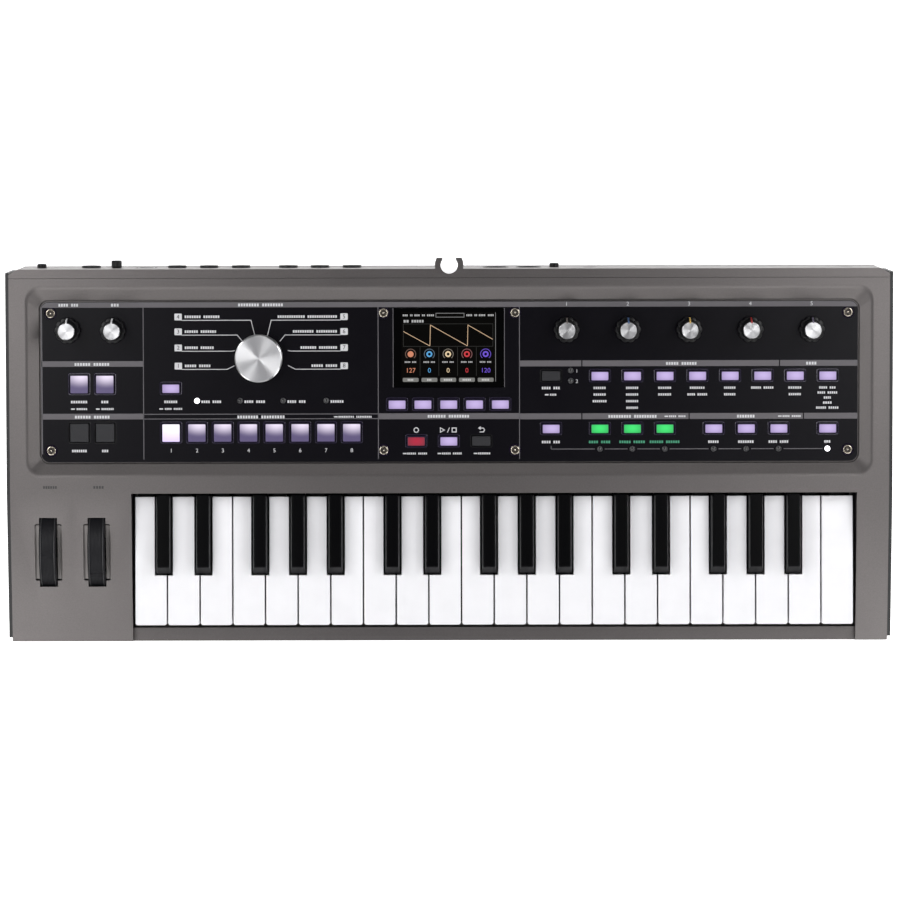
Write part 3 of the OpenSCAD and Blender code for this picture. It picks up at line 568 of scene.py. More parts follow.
def top_shell():
    """The painted top of the case, from the rear strip to the lip in front of the keys."""
    bm = bmesh.new()
    flat_round_dish(bm, dish(bm))
    facet(bm, [(OPEN_X[1], 0, 0), (HALF_W, 0, 0), (HALF_W, FRONT_V, 0), (OPEN_X[1], FRONT_V, 0)],
          FRONT)
    pitch_x, split_x, mod_x = WHEEL_MARKS
    wheel_cell(bm, -HALF_W, pitch_x, split_x)
    wheel_cell(bm, split_x, mod_x, OPEN_X[0])
    case_walls(bm)
    shell = add_object("case_top_shell", bm, CASE, slot="case_grey_top", sharp=28)
    # The second material, the lighter copy of the case paint, is painted light on the finger scoops.
    shell.data.materials.append(SCOOP_PAINTED_LIGHT)
    thick = shell.modifiers.new("thickness", "SOLIDIFY")
    thick.thickness = 1.6*MM
    thick.offset = -1
    thick.use_even_offset = False
    soften = shell.modifiers.new("soft_edges", "BEVEL")
    soften.width = 0.6*MM
    soften.segments = 3
    soften.limit_method = "ANGLE"
    soften.angle_limit = math.radians(40)
    soften.use_clamp_overlap = True
    soften.harden_normals = True
    shell.modifiers.move(0, 2)
    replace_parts(shell, "top_case")


SLOT_HALF_W = 5.35
SLOT_HALF_D = 21.0
SCOOP_HALF_W = 8.3
SCOOP_HALF_D = 17.2


def slope(bm, x, v, w=0.0):
    """A point on the slope in front of the crease, w above it."""
    return bm.verts.new(FRONT @ Vector((x, v, w)))


def wheel_cell(bm, low_x, mid_x, high_x):
    """The slope between two X values, with one wheel's slot and its finger scoops."""
    axis = anchor_mm("pitch_wheel_bend")
    mid_v = (FRONT.inverted() @ Vector((0, axis.y, axis.z))).y
    chamfer = 0.9
    wall_w = -6.0
    for side, edge_x in ((-1, low_x), (1, high_x)):
        def at(x, v, w=0.0):
            return slope(bm, mid_x + side*x, mid_v + v, w)

        hole = [(0, SLOT_HALF_D), (SLOT_HALF_W, SLOT_HALF_D), (SLOT_HALF_W, SCOOP_HALF_D),
                (SCOOP_HALF_W - chamfer, SCOOP_HALF_D), (SCOOP_HALF_W, SCOOP_HALF_D - chamfer)]
        rim = [at(x, v) for x, v in hole] + [at(x, -v) for x, v in hole[::-1]]
        outside = [(mid_x, FRONT_V), (edge_x, FRONT_V), (edge_x, 0)]
        bm.faces.new([slope(bm, mid_x, 0)] + rim + [slope(bm, x, v) for x, v in outside])
        # scoop: a steep outer wall that flattens towards the slot, deepest at the middle
        rows = 16
        grid = []
        for i in range(rows + 1):
            v = (SCOOP_HALF_D - chamfer)*(2*i/rows - 1)
            deep = 1.8 - 0.6*(v/SCOOP_HALF_D)**2
            cove = [(0.0, 0.0), (0.22, -0.1), (0.45, -0.4), (0.95, -0.68*deep),
                    (1.4, -0.84*deep), (SCOOP_HALF_W - SLOT_HALF_W, -deep),
                    (SCOOP_HALF_W - SLOT_HALF_W, wall_w)]
            grid.append([at(SCOOP_HALF_W - inset, v, w) for inset, w in cove])
        # The scoop's faces take the lighter copy of the case paint: painted light.
        before = len(bm.faces)
        for first, second in zip(grid, grid[1:]):
            ribbon(bm, first, second, closed=False)
        bm.faces.ensure_lookup_table()
        for face in bm.faces[before:]:
            face.material_index = 1
        # end walls of the scoop and the slot
        for end, row in ((-1, grid[0]), (1, grid[-1])):
            bm.faces.new([row[0]] + [at(x, end*v) for x, v in hole[3:1:-1]]
                         + [at(SLOT_HALF_W, end*SCOOP_HALF_D, wall_w)] + row[:0:-1])
            upper = [at(x, end*v) for x, v in hole[:3]]
            lower = [at(x, end*v, wall_w) for x, v in hole[:3]]
            ribbon(bm, upper, lower, closed=False)


top_shell()

# ---------------------------------------------------------------- keys

BLACK_CENTRES = [middle_x(name) for name in NODES if name.startswith("black_key")]


def key_tail(bm, mid, front, rear):
    """The bar that reaches back from a key to its pivot."""
    block(bm, mid - 4.2, mid + 4.2, front, rear, *TAIL_Z)


def white_key(name):
    """A key cut away on each side where a black key stands, and its tail, drawn in black as painted shade on the
    rear of the white key.
    """
    low, high = box_mm(name)
    left, right = low.x, high.x
    for centre in BLACK_CENTRES:
        if low.x < centre + BLACK_SLOT/2 < middle_x(name):
            left = centre + BLACK_SLOT/2
        if middle_x(name) < centre - BLACK_SLOT/2 < high.x:
            right = centre - BLACK_SLOT/2
    outline = [(low.x, low.y), (high.x, low.y), (high.x, NECK_FRONT_Y), (right, NECK_FRONT_Y),
               (right, NECK_REAR_Y), (left, NECK_REAR_Y), (left, NECK_FRONT_Y),
               (low.x, NECK_FRONT_Y)]
    bm = bmesh.new()
    prism(bm, [p for i, p in enumerate(outline) if p != outline[i - 1]], low.z, high.z)
    front_corners = [e for e in bm.edges if all(abs(v.co.y - low.y) < 1e-3 for v in e.verts)
                     and abs(e.verts[0].co.x - e.verts[1].co.x) < 1e-3]
    round_edges(bm, front_corners, 1.3, 4)
    upper = [e for e in bm.edges if all(abs(v.co.z - high.z) < 1e-3 for v in e.verts)]
    round_edges(bm, upper, 0.45, 3)
    # The white key's tail is black: painted shade where the white key runs back into the case.
    tail = bmesh.new()
    key_tail(tail, (left + right)/2, NECK_REAR_Y - 0.3, high.y)
    add_object(name + "_tail", tail, CHASSIS_AND_TAIL_SHADE, body=name, slot="key_white")
    piece = add_object(name + "_key", bm, KEY_WHITE, body=name, slot="key_white", weld=False)
    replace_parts(piece, name)


def black_key(name):
    """A tapered key with a duller front slope in a lighter black, which is painted light, its tail, and the guide
    under it.
    """
    low, high = box_mm(name)
    mid = middle_x(name)
    rear = -26.8
    slope_run = 4.2
    bm = bmesh.new()
    rings = []
    for z, half, front in ((30.0, 4.7, low.y), (39.2, 4.7, low.y),
                           (high.z, 3.55, low.y + slope_run)):
        rings.append([bm.verts.new((mid + x, y, z)) for x, y in
                      ((-half, front), (half, front), (half, rear), (-half, rear))])
    loft(bm, rings)
    sharp = [e for e in bm.edges if max(v.co.z for v in e.verts) > 39.0
             and min(v.co.y for v in e.verts) < rear - 1]
    round_edges(bm, sharp, 0.75, 4)
    key_tail(bm, mid, rear - 1, high.y)
    block(bm, mid - 3, mid + 3, -62, -58, 22.0, 31.0)
    # Faces on the front slope take the second material, the lighter black that paints light on the slope.
    for face in bm.faces:
        middle = face.calc_center_median()
        if middle.y < low.y + slope_run and middle.z > 40.0 and face.normal.y < -0.3:
            face.material_index = 1
    piece = add_object(name + "_key", bm, KEY_BLACK, body=name, slot="key_black", weld=False)
    piece.data.materials.append(KEY_BLACK_FRONT_PAINTED_LIGHT)
    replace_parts(piece, name)


for key in sorted(NODES):
    if key.startswith("white_key"):
        white_key(key)
    if key.startswith("black_key"):
        black_key(key)

# ---------------------------------------------------------------- wheels

WHEEL_R = 24.0
WHEEL_HALF_W = 5.05
WHEEL_GRIP = WHEEL_HALF_W - 1.4
WHEEL_SWEEP = 196.0
WHEEL_STEPS = 98
PITCH_REST = 11.0
MOD_REST = 41.0


def swept(bm, section, start, groove=0.0):
    """Sweeps a section of (x, radius) points round X, with a groove across its grip."""
    rings = []
    for i in range(WHEEL_STEPS + 1):
        degrees = start + WHEEL_SWEEP*i/WHEEL_STEPS
        angle = math.radians(degrees)
        dip = groove*max(0.0, 1 - ((degrees - start - WHEEL_SWEEP/2)/3.2)**2)
        ring = []
        for x, r in section:
            reach = r - dip if abs(x) < WHEEL_GRIP + 0.1 and r > WHEEL_R - 1 else r
            ring.append(bm.verts.new((x, reach*math.cos(angle), reach*math.sin(angle))))
        rings.append(ring)
    loft(bm, rings)


def wheel(body, joint, rest):
    """A wheel with a ribbed grip between two raised rims, a painted highlight along each rim's crest, and a groove
    across it.
    """
    hub = anchor_mm(joint)
    half = WHEEL_HALF_W
    start = rest - 8.0
    place = Matrix.Translation((middle_x(body), hub.y, hub.z))
    profile = [(half, WHEEL_R - 4.5), (half, WHEEL_R - 1.1), (half - 0.2, WHEEL_R - 0.55),
               (half - 0.6, WHEEL_R - 0.15), (half - 1.2, WHEEL_R - 0.05),
               (WHEEL_GRIP, WHEEL_R - 0.5)]
    ribs = 9
    gap = WHEEL_GRIP/ribs
    section = list(profile)
    for i in range(ribs):
        x = WHEEL_GRIP*(1 - 2*(i + 0.5)/ribs)
        section += [(x + gap*0.75, WHEEL_R - 0.55), (x, WHEEL_R - 0.4),
                    (x - gap*0.75, WHEEL_R - 0.55)]
    section += [(-x, r) for x, r in profile[::-1]]
    bm = bmesh.new()
    swept(bm, section, start, groove=0.75)
    tyre = add_object(body + "_tyre", bm, WHEEL_BLACK, body=body, at=place, slot="wheel_black",
                      sharp=40)
    bm = bmesh.new()
    for r, reach, count in ((WHEEL_R - 4.0, 2.2, 72), (6.0, 4.5, 48), (3.0, half_width(body), 32)):
        lathe(bm, [(0.0, -reach), (r, -reach), (r, reach), (0.0, reach)], count)
    turn = Matrix.Rotation(math.radians(90), 4, "Y")
    add_object(body + "_hub", bm, CHASSIS_AND_TAIL_SHADE, body=body, at=place @ turn, slot="wheel_black")
    # Thin lighter bands on the crests of the rims: painted highlight.
    rim = [(half - 0.85, WHEEL_R - 0.3), (half - 0.85, WHEEL_R - 0.01),
           (half - 1.25, WHEEL_R - 0.01), (half - 1.25, WHEEL_R - 0.3)]
    for side, end in ((-1, "left"), (1, "right")):
        bm = bmesh.new()
        swept(bm, [(side*x, r) for x, r in rim], start)
        add_object(body + "_rim_" + end, bm, WHEEL_RIM_HIGHLIGHT, body=body, at=place, slot="wheel_black")
    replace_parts(tyre, body)


wheel("pitch_wheel", "pitch_wheel_bend", PITCH_REST)
wheel("mod_wheel", "mod_wheel_turn", MOD_REST)

# ---------------------------------------------------------------- knobs and dial

KNOB_H = 16.0
KNOB_CAP_R = 4.9
KNOB_SKIRT_H = 4.2
KNOB_LIFT = 0.6
POINTER_COLORS = {
    "volume_knob": (0.75, 0.75, 0.76), "mic_knob": (0.75, 0.75, 0.76),
    "edit_knob_1": (0.16, 0.14, 0.13), "edit_knob_2": (0.06, 0.12, 0.26),
    "edit_knob_3": (0.62, 0.40, 0.10), "edit_knob_4": (0.35, 0.012, 0.012),
    "edit_knob_5": (0.15, 0.13, 0.19),
}


def knob(body, color):
    """A knob with a scalloped skirt, a metal cap, and a rib that carries a pointer line."""
    skirt_r = half_width(body)
    where = {"body": body, "at": on_shaft(body + "_turn"), "slot": "knob_black"}
    lobes = 10

    def scallop(r, z, angle):
        if z > KNOB_SKIRT_H + 1.0 or r <= skirt_r - 0.9:
            return 1.0
        return 1.0 - 0.115*(1 - abs(math.cos(lobes*angle/2)))**1.3

    bm = bmesh.new()
    lathe(bm, [(0.0, KNOB_LIFT), (skirt_r - 0.3, KNOB_LIFT), (skirt_r, KNOB_LIFT + 0.4),
               (skirt_r, KNOB_SKIRT_H - 0.6), (skirt_r - 0.25, KNOB_SKIRT_H - 0.15),
               (skirt_r - 0.8, KNOB_SKIRT_H), (skirt_r - 1.7, KNOB_SKIRT_H + 0.1),
               (skirt_r - 1.95, KNOB_SKIRT_H + 0.6), (KNOB_CAP_R + 0.55, KNOB_H - 0.8),
               (KNOB_CAP_R + 0.35, KNOB_H - 0.35), (KNOB_CAP_R + 0.05, KNOB_H - 0.3),
               (0.0, KNOB_H - 0.3)], 160, scallop)
    lathe(bm, [(0.0, -8.0), (3.0, -8.0), (3.0, KNOB_LIFT + 0.5), (0.0, KNOB_LIFT + 0.5)], 32)
    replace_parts(add_object(body + "_grip", bm, KNOB_BLACK, **where), body)
    face = [(KNOB_CAP_R*part, KNOB_H - 0.1) for part in (0.8, 0.65, 0.5, 0.35, 0.2, 0.1, 0.04, 0)]
    turned(body + "_cap", [(0.0, KNOB_H - 0.5), (KNOB_CAP_R - 0.05, KNOB_H - 0.5),
                           (KNOB_CAP_R, KNOB_H - 0.3), (KNOB_CAP_R - 0.3, KNOB_H - 0.05)] + face,
           96, CAP_METAL, **where)
    tip_z = KNOB_SKIRT_H + 4.5
    rib = [(KNOB_CAP_R - 0.5, KNOB_SKIRT_H - 0.5), (skirt_r - 0.35, KNOB_SKIRT_H - 0.5),
           (skirt_r - 0.35, tip_z - 0.1), (KNOB_CAP_R + 0.3, KNOB_H - 0.4),
           (KNOB_CAP_R - 0.5, KNOB_H - 0.4)]
    bm = bmesh.new()
    loft(bm, [[bm.verts.new((x, r, z)) for r, z in rib] for x in (-0.6, 0.6)])
    add_object(body + "_rib", bm, KNOB_BLACK, **where)
    bm = bmesh.new()
    half = 0.45
    line = []
    for r, z in ((KNOB_CAP_R - 0.7, KNOB_H - 0.02), (KNOB_CAP_R + 0.45, KNOB_H - 0.1),
                 (skirt_r - 0.3, tip_z + 0.1)):
        line.append([bm.verts.new(corner) for corner in
                     ((-half, r, z), (half, r, z), (half, r - 0.15, z - 0.3),
                      (-half, r - 0.15, z - 0.3))])
    loft(bm, line)
    ink = plain(body + "_pointer_ink", color, roughness=0.5)
    add_object(body + "_pointer", bm, ink, **where)


for knob_body, pointer_color in POINTER_COLORS.items():
    knob(knob_body, pointer_color)


def program_dial():
    """The big spun dial with a finely knurled side, on a black base."""
    radius = half_width("program_dial")
    height = 12.0
    where = {"body": "program_dial", "at": on_shaft("program_dial_turn"),
             "slot": "dial_aluminium"}

    def knurl(r, z, angle):
        return 1.0 - 0.006*(0.5 + 0.5*math.cos(90*angle)) if 2.6 < z < 9.6 and r > 13 else 1.0

    bm = bmesh.new()
    lathe(bm, [(0.0, 1.6), (radius - 0.3, 1.6), (radius, 2.0), (radius, 2.7), (radius, 9.5),
               (radius, height - 1.0), (radius - 0.2, height - 0.35), (radius - 0.75, height)]
          + [(radius*part, height) for part in (0.85, 0.7, 0.5, 0.3, 0.15, 0.07, 0.03, 0)], 360,
          knurl)
    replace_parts(add_object("program_dial_cap", bm, SPUN, **where), "program_dial")
    turned("program_dial_base", [(0.0, -8.0), (3.0, -8.0), (3.0, KNOB_LIFT),
                                 (radius - 0.7, KNOB_LIFT), (radius - 0.7, 1.7), (0.0, 1.7)],
           96, KNOB_BLACK, **where)


program_dial()

# ---------------------------------------------------------------- button caps

LAVENDER = glow_cap("cap_lavender", (0.92, 0.82, 1.0), (0.105, 0.080, 0.190), 1.0, reach=8.2,
                    source=(0.8, 5.2))
WHITE_GLOW = glow_cap("cap_white", (1.0, 0.97, 1.0), (0.72, 0.58, 0.95), 1.15, reach=12.0)
SMALL_LAVENDER = glow_cap("cap_small_lavender", (0.58, 0.46, 0.80), (0.14, 0.09, 0.26), 1.0,
                          reach=8.0, source=(0.3, 0.3))
RED_GLOW = glow_cap("cap_red", (0.44, 0.004, 0.035), (0.09, 0.02, 0.03), 1.0, reach=6.5,
                    source=(0.0, 0.0))
GREEN_GLOW = glow_cap("cap_green", (0.04, 0.82, 0.17), (0.0, 0.15, 0.03), 1.0, reach=7.5,
                      source=(0.0, 0.3))

LOOP_ROW = -35.4
SQUARE_ROW = -30.1
FIRST_PROGRAM_X = -165.6
SQUARE_DEPTH = 8.0


def islands(node):
    """The separate solids of a CAD node, as lists of their points in the panel frame."""
    bm = bmesh.new()
    bm.from_mesh(NODES[node].data)
    bmesh.ops.remove_doubles(bm, verts=bm.verts, dist=1e-7)
    left = set(bm.verts)
    found = []
    while left:
        group = [left.pop()]
        for here in group:
            for edge in here.link_edges:
                other = edge.other_vert(here)
                if other in left:
                    left.discard(other)
                    group.append(other)
        found.append([TO_PANEL @ (v.co/MM) for v in group])
    bm.free()
    return found


def button_places():
    """Middle and depth of each button cap, from left to right and rear to front."""
    places = []
    for points in islands("panel_buttons"):
        xs = [p.x for p in points if p.z > 1.0]
        ys = [p.y for p in points if p.z > 1.0]
        places.append((round((min(xs) + max(xs))/2, 2), round((min(ys) + max(ys))/2, 2),
                       round(max(ys) - min(ys), 2)))
    return sorted(places)


CAP_W = 11.0
CAP_RISE = 1.8
BUTTONS = button_places()


def cap_material(x, y, depth):
    """Which caps are lit, and in which colour."""
    if depth > SQUARE_DEPTH:
        if x < FIRST_PROGRAM_X - 20 and abs(y - SQUARE_ROW) < 2:
            return DARK_CAP
        return WHITE_GLOW if abs(x - FIRST_PROGRAM_X) < 2 else LAVENDER
    if abs(y - LOOP_ROW) < 2 and abs(x) < 40:
        return RED_GLOW if x < -10 else SMALL_LAVENDER if x < 10 else DARK_CAP
    if x > 50 and y < -20:
        return GREEN_GLOW if 80 < x < 140 else SMALL_LAVENDER
    return DARK_CAP if 50 < x < 70 else SMALL_LAVENDER


def button_cap(index, x, y, depth):
    """A cap in a dark frame, with a lens on top and a stem under it."""
    name = "button_%02d" % index
    lens_material = cap_material(x, y, depth)
    where = {"body": "panel_buttons", "at": on_panel(x, y), "slot": "button_caps", "weld": False}
    bm = bmesh.new()
    top = prism(bm, rounded(CAP_W, depth, 0.5, 3), -2.2, CAP_RISE - 0.12)
    round_edges(bm, top.edges, 0.35, 3)
    prism(bm, rounded(CAP_W + 1.8, depth + 1.8, 0.6, 2), -2.9, -2.1)
    prism(bm, rounded(4.0, 4.0, 0.3, 2), -4.6, -2.5)
    # Lit caps get purple sides: painted glow of their lamps.
    frame_material = DARK_CAP if lens_material is DARK_CAP else CAP_SURROUND
    cap = add_object(name + "_cap", bm, frame_material, **where)
    trim_w, trim_d = (0.7, 0.6) if depth > SQUARE_DEPTH else (1.0, 0.8)
    shift_y = -0.2
    if lens_material is DARK_CAP:
        trim_w = trim_d = 0.9
        shift_y = 0.0
    bm = bmesh.new()
    outline = rounded(CAP_W - trim_w, depth - trim_d, 0.5, 3, 0.0, shift_y)
    top = prism(bm, outline, CAP_RISE - 0.6, CAP_RISE)
    round_edges(bm, top.edges, 0.22, 2)
    add_object(name + "_lens", bm, lens_material, **where)
    return cap


def button_wells(name, material, places):
    """A thin glossy rim round each of these buttons' holes, which catches the light."""
    bm = bmesh.new()
    for x, y, depth in places:
        rings = []
        for grow, z in ((0.85, 0.0), (1.0, -0.5), (2.3, -0.5), (2.3, 0.02), (1.95, 0.14),
                        (1.3, 0.14), (0.85, 0.0)):
            outline = rounded(CAP_W + grow, depth + grow, 0.35 + grow/2, 3, x, y)
            rings.append([bm.verts.new((px, py, z)) for px, py in outline])
        for first, second in zip(rings, rings[1:]):
            ribbon(bm, first, second)
    printed(name, bm, material)


# The purple of the lit buttons' rims is painted glow from their lamps.
button_wells("lit_button_wells", WELL, [b for b in BUTTONS if cap_material(*b) is not DARK_CAP])
button_wells("dark_button_wells", DARK_WELL, [b for b in BUTTONS if cap_material(*b) is DARK_CAP])
for number, (cap_x, cap_y, cap_d) in enumerate(BUTTONS, start=1):
    made_cap = button_cap(number, cap_x, cap_y, cap_d)
    if number == 1:
        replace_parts(made_cap, "panel_buttons")

# ---------------------------------------------------------------- lamps and screws

LAMP_ON = (Material("lamp_on", (0.8, 0.8, 0.8), roughness=0.3)
           .mottled(2.0).lit((1.0, 0.97, 1.0), 3.0).data)
EDIT_X = 89.5
EDIT_PITCH = 19.35
TIMBRE_X = 60.5
EFFECT_X = [TIMBRE_X, EDIT_X, EDIT_X + EDIT_PITCH, EDIT_X + 2*EDIT_PITCH, EDIT_X + 3.5*EDIT_PITCH,
            EDIT_X + 4.5*EDIT_PITCH, EDIT_X + 5.5*EDIT_PITCH, EDIT_X + 7*EDIT_PITCH]
BANK_LAMP_X = -150.1
BANK_LAMP_PITCH = 25.6
BANK_LAMP_ROW = -11.2
EFFECT_LAMP_ROW = -40.4
lamps = [(BANK_LAMP_X + BANK_LAMP_PITCH*i, BANK_LAMP_ROW, i == 0) for i in range(4)]
lamps += [(72.2, 0.3, False), (72.2, 6.4, False)]
lamps += [(x, EFFECT_LAMP_ROW, x == EFFECT_X[-1]) for x in EFFECT_X[1:]]


def lamp(index, x, y, on):
    """A small round lamp in a bezel."""
    where = {"at": on_panel(x, y), "slot": "display_glass"}
    turned("lamp_%02d_bezel" % index,
           [(0.0, -1.2), (1.6, -1.2), (1.6, 0.15), (1.5, 0.3), (1.25, 0.3), (1.15, 0.1),
            (0.0, 0.1)], 40, LAMP_ON if on else BEZEL, **where)
    turned("lamp_%02d_lens" % index,
           [(0.0, 0.0), (1.1, 0.0), (1.1, 0.3), (0.8, 0.5), (0.4, 0.6), (0.0, 0.62)],
           40, LAMP_ON if on else UNLIT, **where)


for number, (lamp_x, lamp_y, lamp_on) in enumerate(lamps, start=1):
    lamp(number, lamp_x, lamp_y, lamp_on)

SCREW_X = (-237.0, -39.1, 39.1, 237.0)
SCREW_Y = 40.9
SCREW_TURNS = (20, 65, 35, 80, 10, 50, 70, 25)


def panel_screw(index, x, y, turn):
    """A screw head with a cross recess, in a countersunk ring."""
    place = on_panel(x, y) @ Matrix.Rotation(math.radians(turn), 4, "Z")
    bm = bmesh.new()
    lathe(bm, [(1.6, -0.9), (2.7, -0.9), (2.88, -0.6), (2.85, -0.2), (2.65, 0.2), (2.4, 0.38),
               (2.2, 0.4), (2.0, 0.25), (1.82, 0.0), (1.6, -0.5), (1.6, -0.9)], 64)
    lathe(bm, [(0.0, -6.8), (1.0, -6.8), (1.4, -6.2), (1.4, -0.8), (0.0, -0.8)], 24)
    lathe(bm, [(0.0, -0.85), (0.55, -0.85), (0.5, -0.25), (0.3, -0.1), (0.0, -0.06)], 24)
    head = add_object("panel_screw_%d" % index, bm, SCREW, at=place, slot="screw_steel",
                      weld=False)
    # A dark brown fill in the head's hollow and cross recess: painted shade in the recess.
    bm = bmesh.new()
    lathe(bm, [(0.5, -0.82), (1.7, -0.82), (1.62, -0.4), (0.5, -0.6), (0.5, -0.82)], 48)
    for long, wide in ((1.34, 0.2), (0.2, 1.34)):
        block(bm, -long, long, -wide, wide, -0.75, -0.34)
    add_object("screw_drive_%d" % index, bm, RECESS_SHADE, at=place, slot="screw_steel", weld=False)
    turned("screw_recess_%d" % index,
           [(2.95, -0.88), (3.6, -0.88), (3.6, -0.25), (3.45, 0.02), (3.3, -0.25), (2.95, -0.8),
            (2.95, -0.88)], 64, WELL, at=on_panel(x, y), slot="panel_black")
    return head


screw_index = 0
for screw_x in SCREW_X:
    for screw_y in (-SCREW_Y, SCREW_Y):
        screw = panel_screw(screw_index + 1, screw_x, screw_y, SCREW_TURNS[screw_index])
        if screw_index == 0:
            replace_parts(screw, "panel_screws")
        screw_index += 1

# ---------------------------------------------------------------- printing on the panel

INK = (-0.02, 0.05)
WORD_INK = (-0.02, 0.11)
DIVIDE_LEFT = -181.9
DIVIDE_MID = -42.3
DIVIDE_RIGHT = 41.7
HEADER_Y = 44.3


def rectangle(bm, x0, x1, y0, y1):
    """A printed rectangle."""
    block(bm, x0, x1, y0, y1, *INK)


def header_band():
    """The band along the rear edge, which follows the plate's round corners."""
    bm = bmesh.new()
    r = PLATE_R - 0.25
    cy = PLATE_D/2 - PLATE_R
    start = math.degrees(math.asin((HEADER_Y - cy)/r))
    points = []
    for i in range(9):
        angle = math.radians(start + (90 - start)*i/8)
        points.append((PLATE_W/2 - PLATE_R + r*math.cos(angle), cy + r*math.sin(angle)))
    prism(bm, points + [(-x, y) for x, y in points[::-1]], *INK)
    printed("header_band", bm, BAND)


def section_bands():
    """Grey bands that head the sections of the panel."""
    bm = bmesh.new()
    gap = 0.7
    left = 0.2 - PLATE_W/2
    right = PLATE_W/2 - 0.2
    rectangle(bm, left, DIVIDE_LEFT, 9.2, 12.5)
    rectangle(bm, left, DIVIDE_LEFT, -22.2, -18.8)
    rectangle(bm, DIVIDE_MID, DIVIDE_RIGHT, -22.4, -18.9)
    for marks, y0, y1 in (((78.8, 196.3), 8.9, 12.4), ((78.8, 142.6, 210.6), -22.6, -19.1)):
        stops = [DIVIDE_RIGHT] + list(marks) + [right]
        for x0, x1 in zip(stops, stops[1:]):
            rectangle(bm, x0 + (gap/2 if x0 in marks else 0), x1 - (gap/2 if x1 in marks else 0),
                      y0, y1)
    printed("section_bands", bm, BAND)


def rules():
    """Thin lines between the sections, and a grey line along the left end that is a painted highlight of the
    plate's edge.
    """
    bm = bmesh.new()
    half = 0.25
    front = -PLATE_D/2 + 1.5
    for x in (DIVIDE_LEFT, DIVIDE_MID, DIVIDE_RIGHT):
        rectangle(bm, x - half, x + half, front, HEADER_Y)
    for y in (-19.2, -22.0):
        rectangle(bm, DIVIDE_LEFT, DIVIDE_MID, y - half, y + half)
    # A grey line along the plate's left end: painted highlight of its edge.
    x = 0.5 - PLATE_W/2
    rectangle(bm, x - 0.35, x + 0.35, -PLATE_D/2 + PLATE_R, HEADER_Y + 0.5)
    # border of the display window
    for x in (-33.4, 32.8):
        rectangle(bm, x - 0.2, x + 0.2, -3.4, 43.8)
    # line that links the effect lamps
    gap = 2.9
    for x0, x1 in zip(EFFECT_X, EFFECT_X[1:]):
        begin = x0 if x0 == TIMBRE_X else x0 + gap
        rectangle(bm, begin, x1 - gap, EFFECT_LAMP_ROW - half, EFFECT_LAMP_ROW + half)
    rectangle(bm, TIMBRE_X - half, TIMBRE_X + half, EFFECT_LAMP_ROW, EFFECT_LAMP_ROW + 1.9)
    printed("section_rules_and_edge_highlight", bm, RULE_AND_EDGE_HIGHLIGHT)


DIAL_X = (TO_PANEL @ anchor_mm("program_dial_turn")).x
DIAL_ROW = (TO_PANEL @ anchor_mm("program_dial_turn")).y
BOX_ROWS = (38.7, 29.9, 20.3, 9.5)
BOX_X = 48.0
LEADER_ENDS = ((4.7, 2.4, 13.0), (12.9, 9.8, 9.8), (16.6, 14.5, 4.3), (19.0, 14.6, -4.6))
SELECTOR_SKEW = 2.6
GENRE_WIDTHS = {-1: (21.0, 19.0, 17.5, 15.5), 1: (35.5, 26.5, 22.0, 15.5)}


def word(bm, x, y, width, height=1.5):
    """A row of plain blocks, one per letter, that stands where a caption would be."""
    count = max(2, round(width/(height*0.92)))
    pitch = width/count
    for i in range(count):
        if count > 7 and i == round(count*0.45):
            continue
        left = x - width/2 + pitch*i
        block(bm, left, left + pitch*0.72, y - height/2, y + height/2, *WORD_INK)


def words(bm, y, places, height=1.5):
    """Captions that share one Y."""
    for x, width in places:
        word(bm, x, y, width, height)


def selector_marks():
    """Boxes and leader lines either side of the dial, numbered from 1 to 8."""
    lines = bmesh.new()
    boxes = bmesh.new()
    digits = bmesh.new()
    for side in (-1, 1):
        middle = DIAL_X + (SELECTOR_SKEW if side > 0 else 0)
        box_x = middle + side*BOX_X
        for row, (y, ends) in enumerate(zip(BOX_ROWS, LEADER_ENDS)):
            prism(boxes, rounded(4.4, 4.0, 0.5, 3, box_x, y), *INK)
            number = 4 - row if side < 0 else 5 + row
            letters(digits, str(number), 3.4, box_x, y, 0.03, 0.12)
            under = y - 2.0
            bend_x, end_x, end_y = ends
            strip(lines, [(box_x - side*2.0, under), (middle + side*bend_x, under),
                          (middle + side*end_x, DIAL_ROW + end_y)], 0.4, *INK)
            width = GENRE_WIDTHS[side][row]
            word(lines, box_x - side*(3.9 + width/2), y + 0.1, width)
    printed("selector_leaders", lines, WHITE_PRINT)
    printed("selector_boxes", boxes, WHITE_PRINT)
    printed("selector_digits", digits, PANEL_BLACK)


def dash(bm, x, y):
    """The short dash in front of a second caption."""
    prism(bm, rounded(2.2, 0.8, 0.2, 2, x, y), *WORD_INK)


def panel_digits():
    """Numbers under the program buttons, over the edit knobs and beside two lamps."""
    bm = bmesh.new()
    for i in range(8):
        letters(bm, str(i + 1), 3.3, FIRST_PROGRAM_X + 15.35*i, -41.0, *INK)
    for i in range(5):
        x = (TO_PANEL @ anchor_mm("edit_knob_%d_turn" % (i + 1))).x
        letters(bm, str(i + 1), 3.3, x, 45.95, *WORD_INK)
    for y, number in ((6.0, "1"), (-0.1, "2")):
        letters(bm, number, 3.0, 75.8, y, *INK)
    printed("panel_digits", bm, WHITE_PRINT)


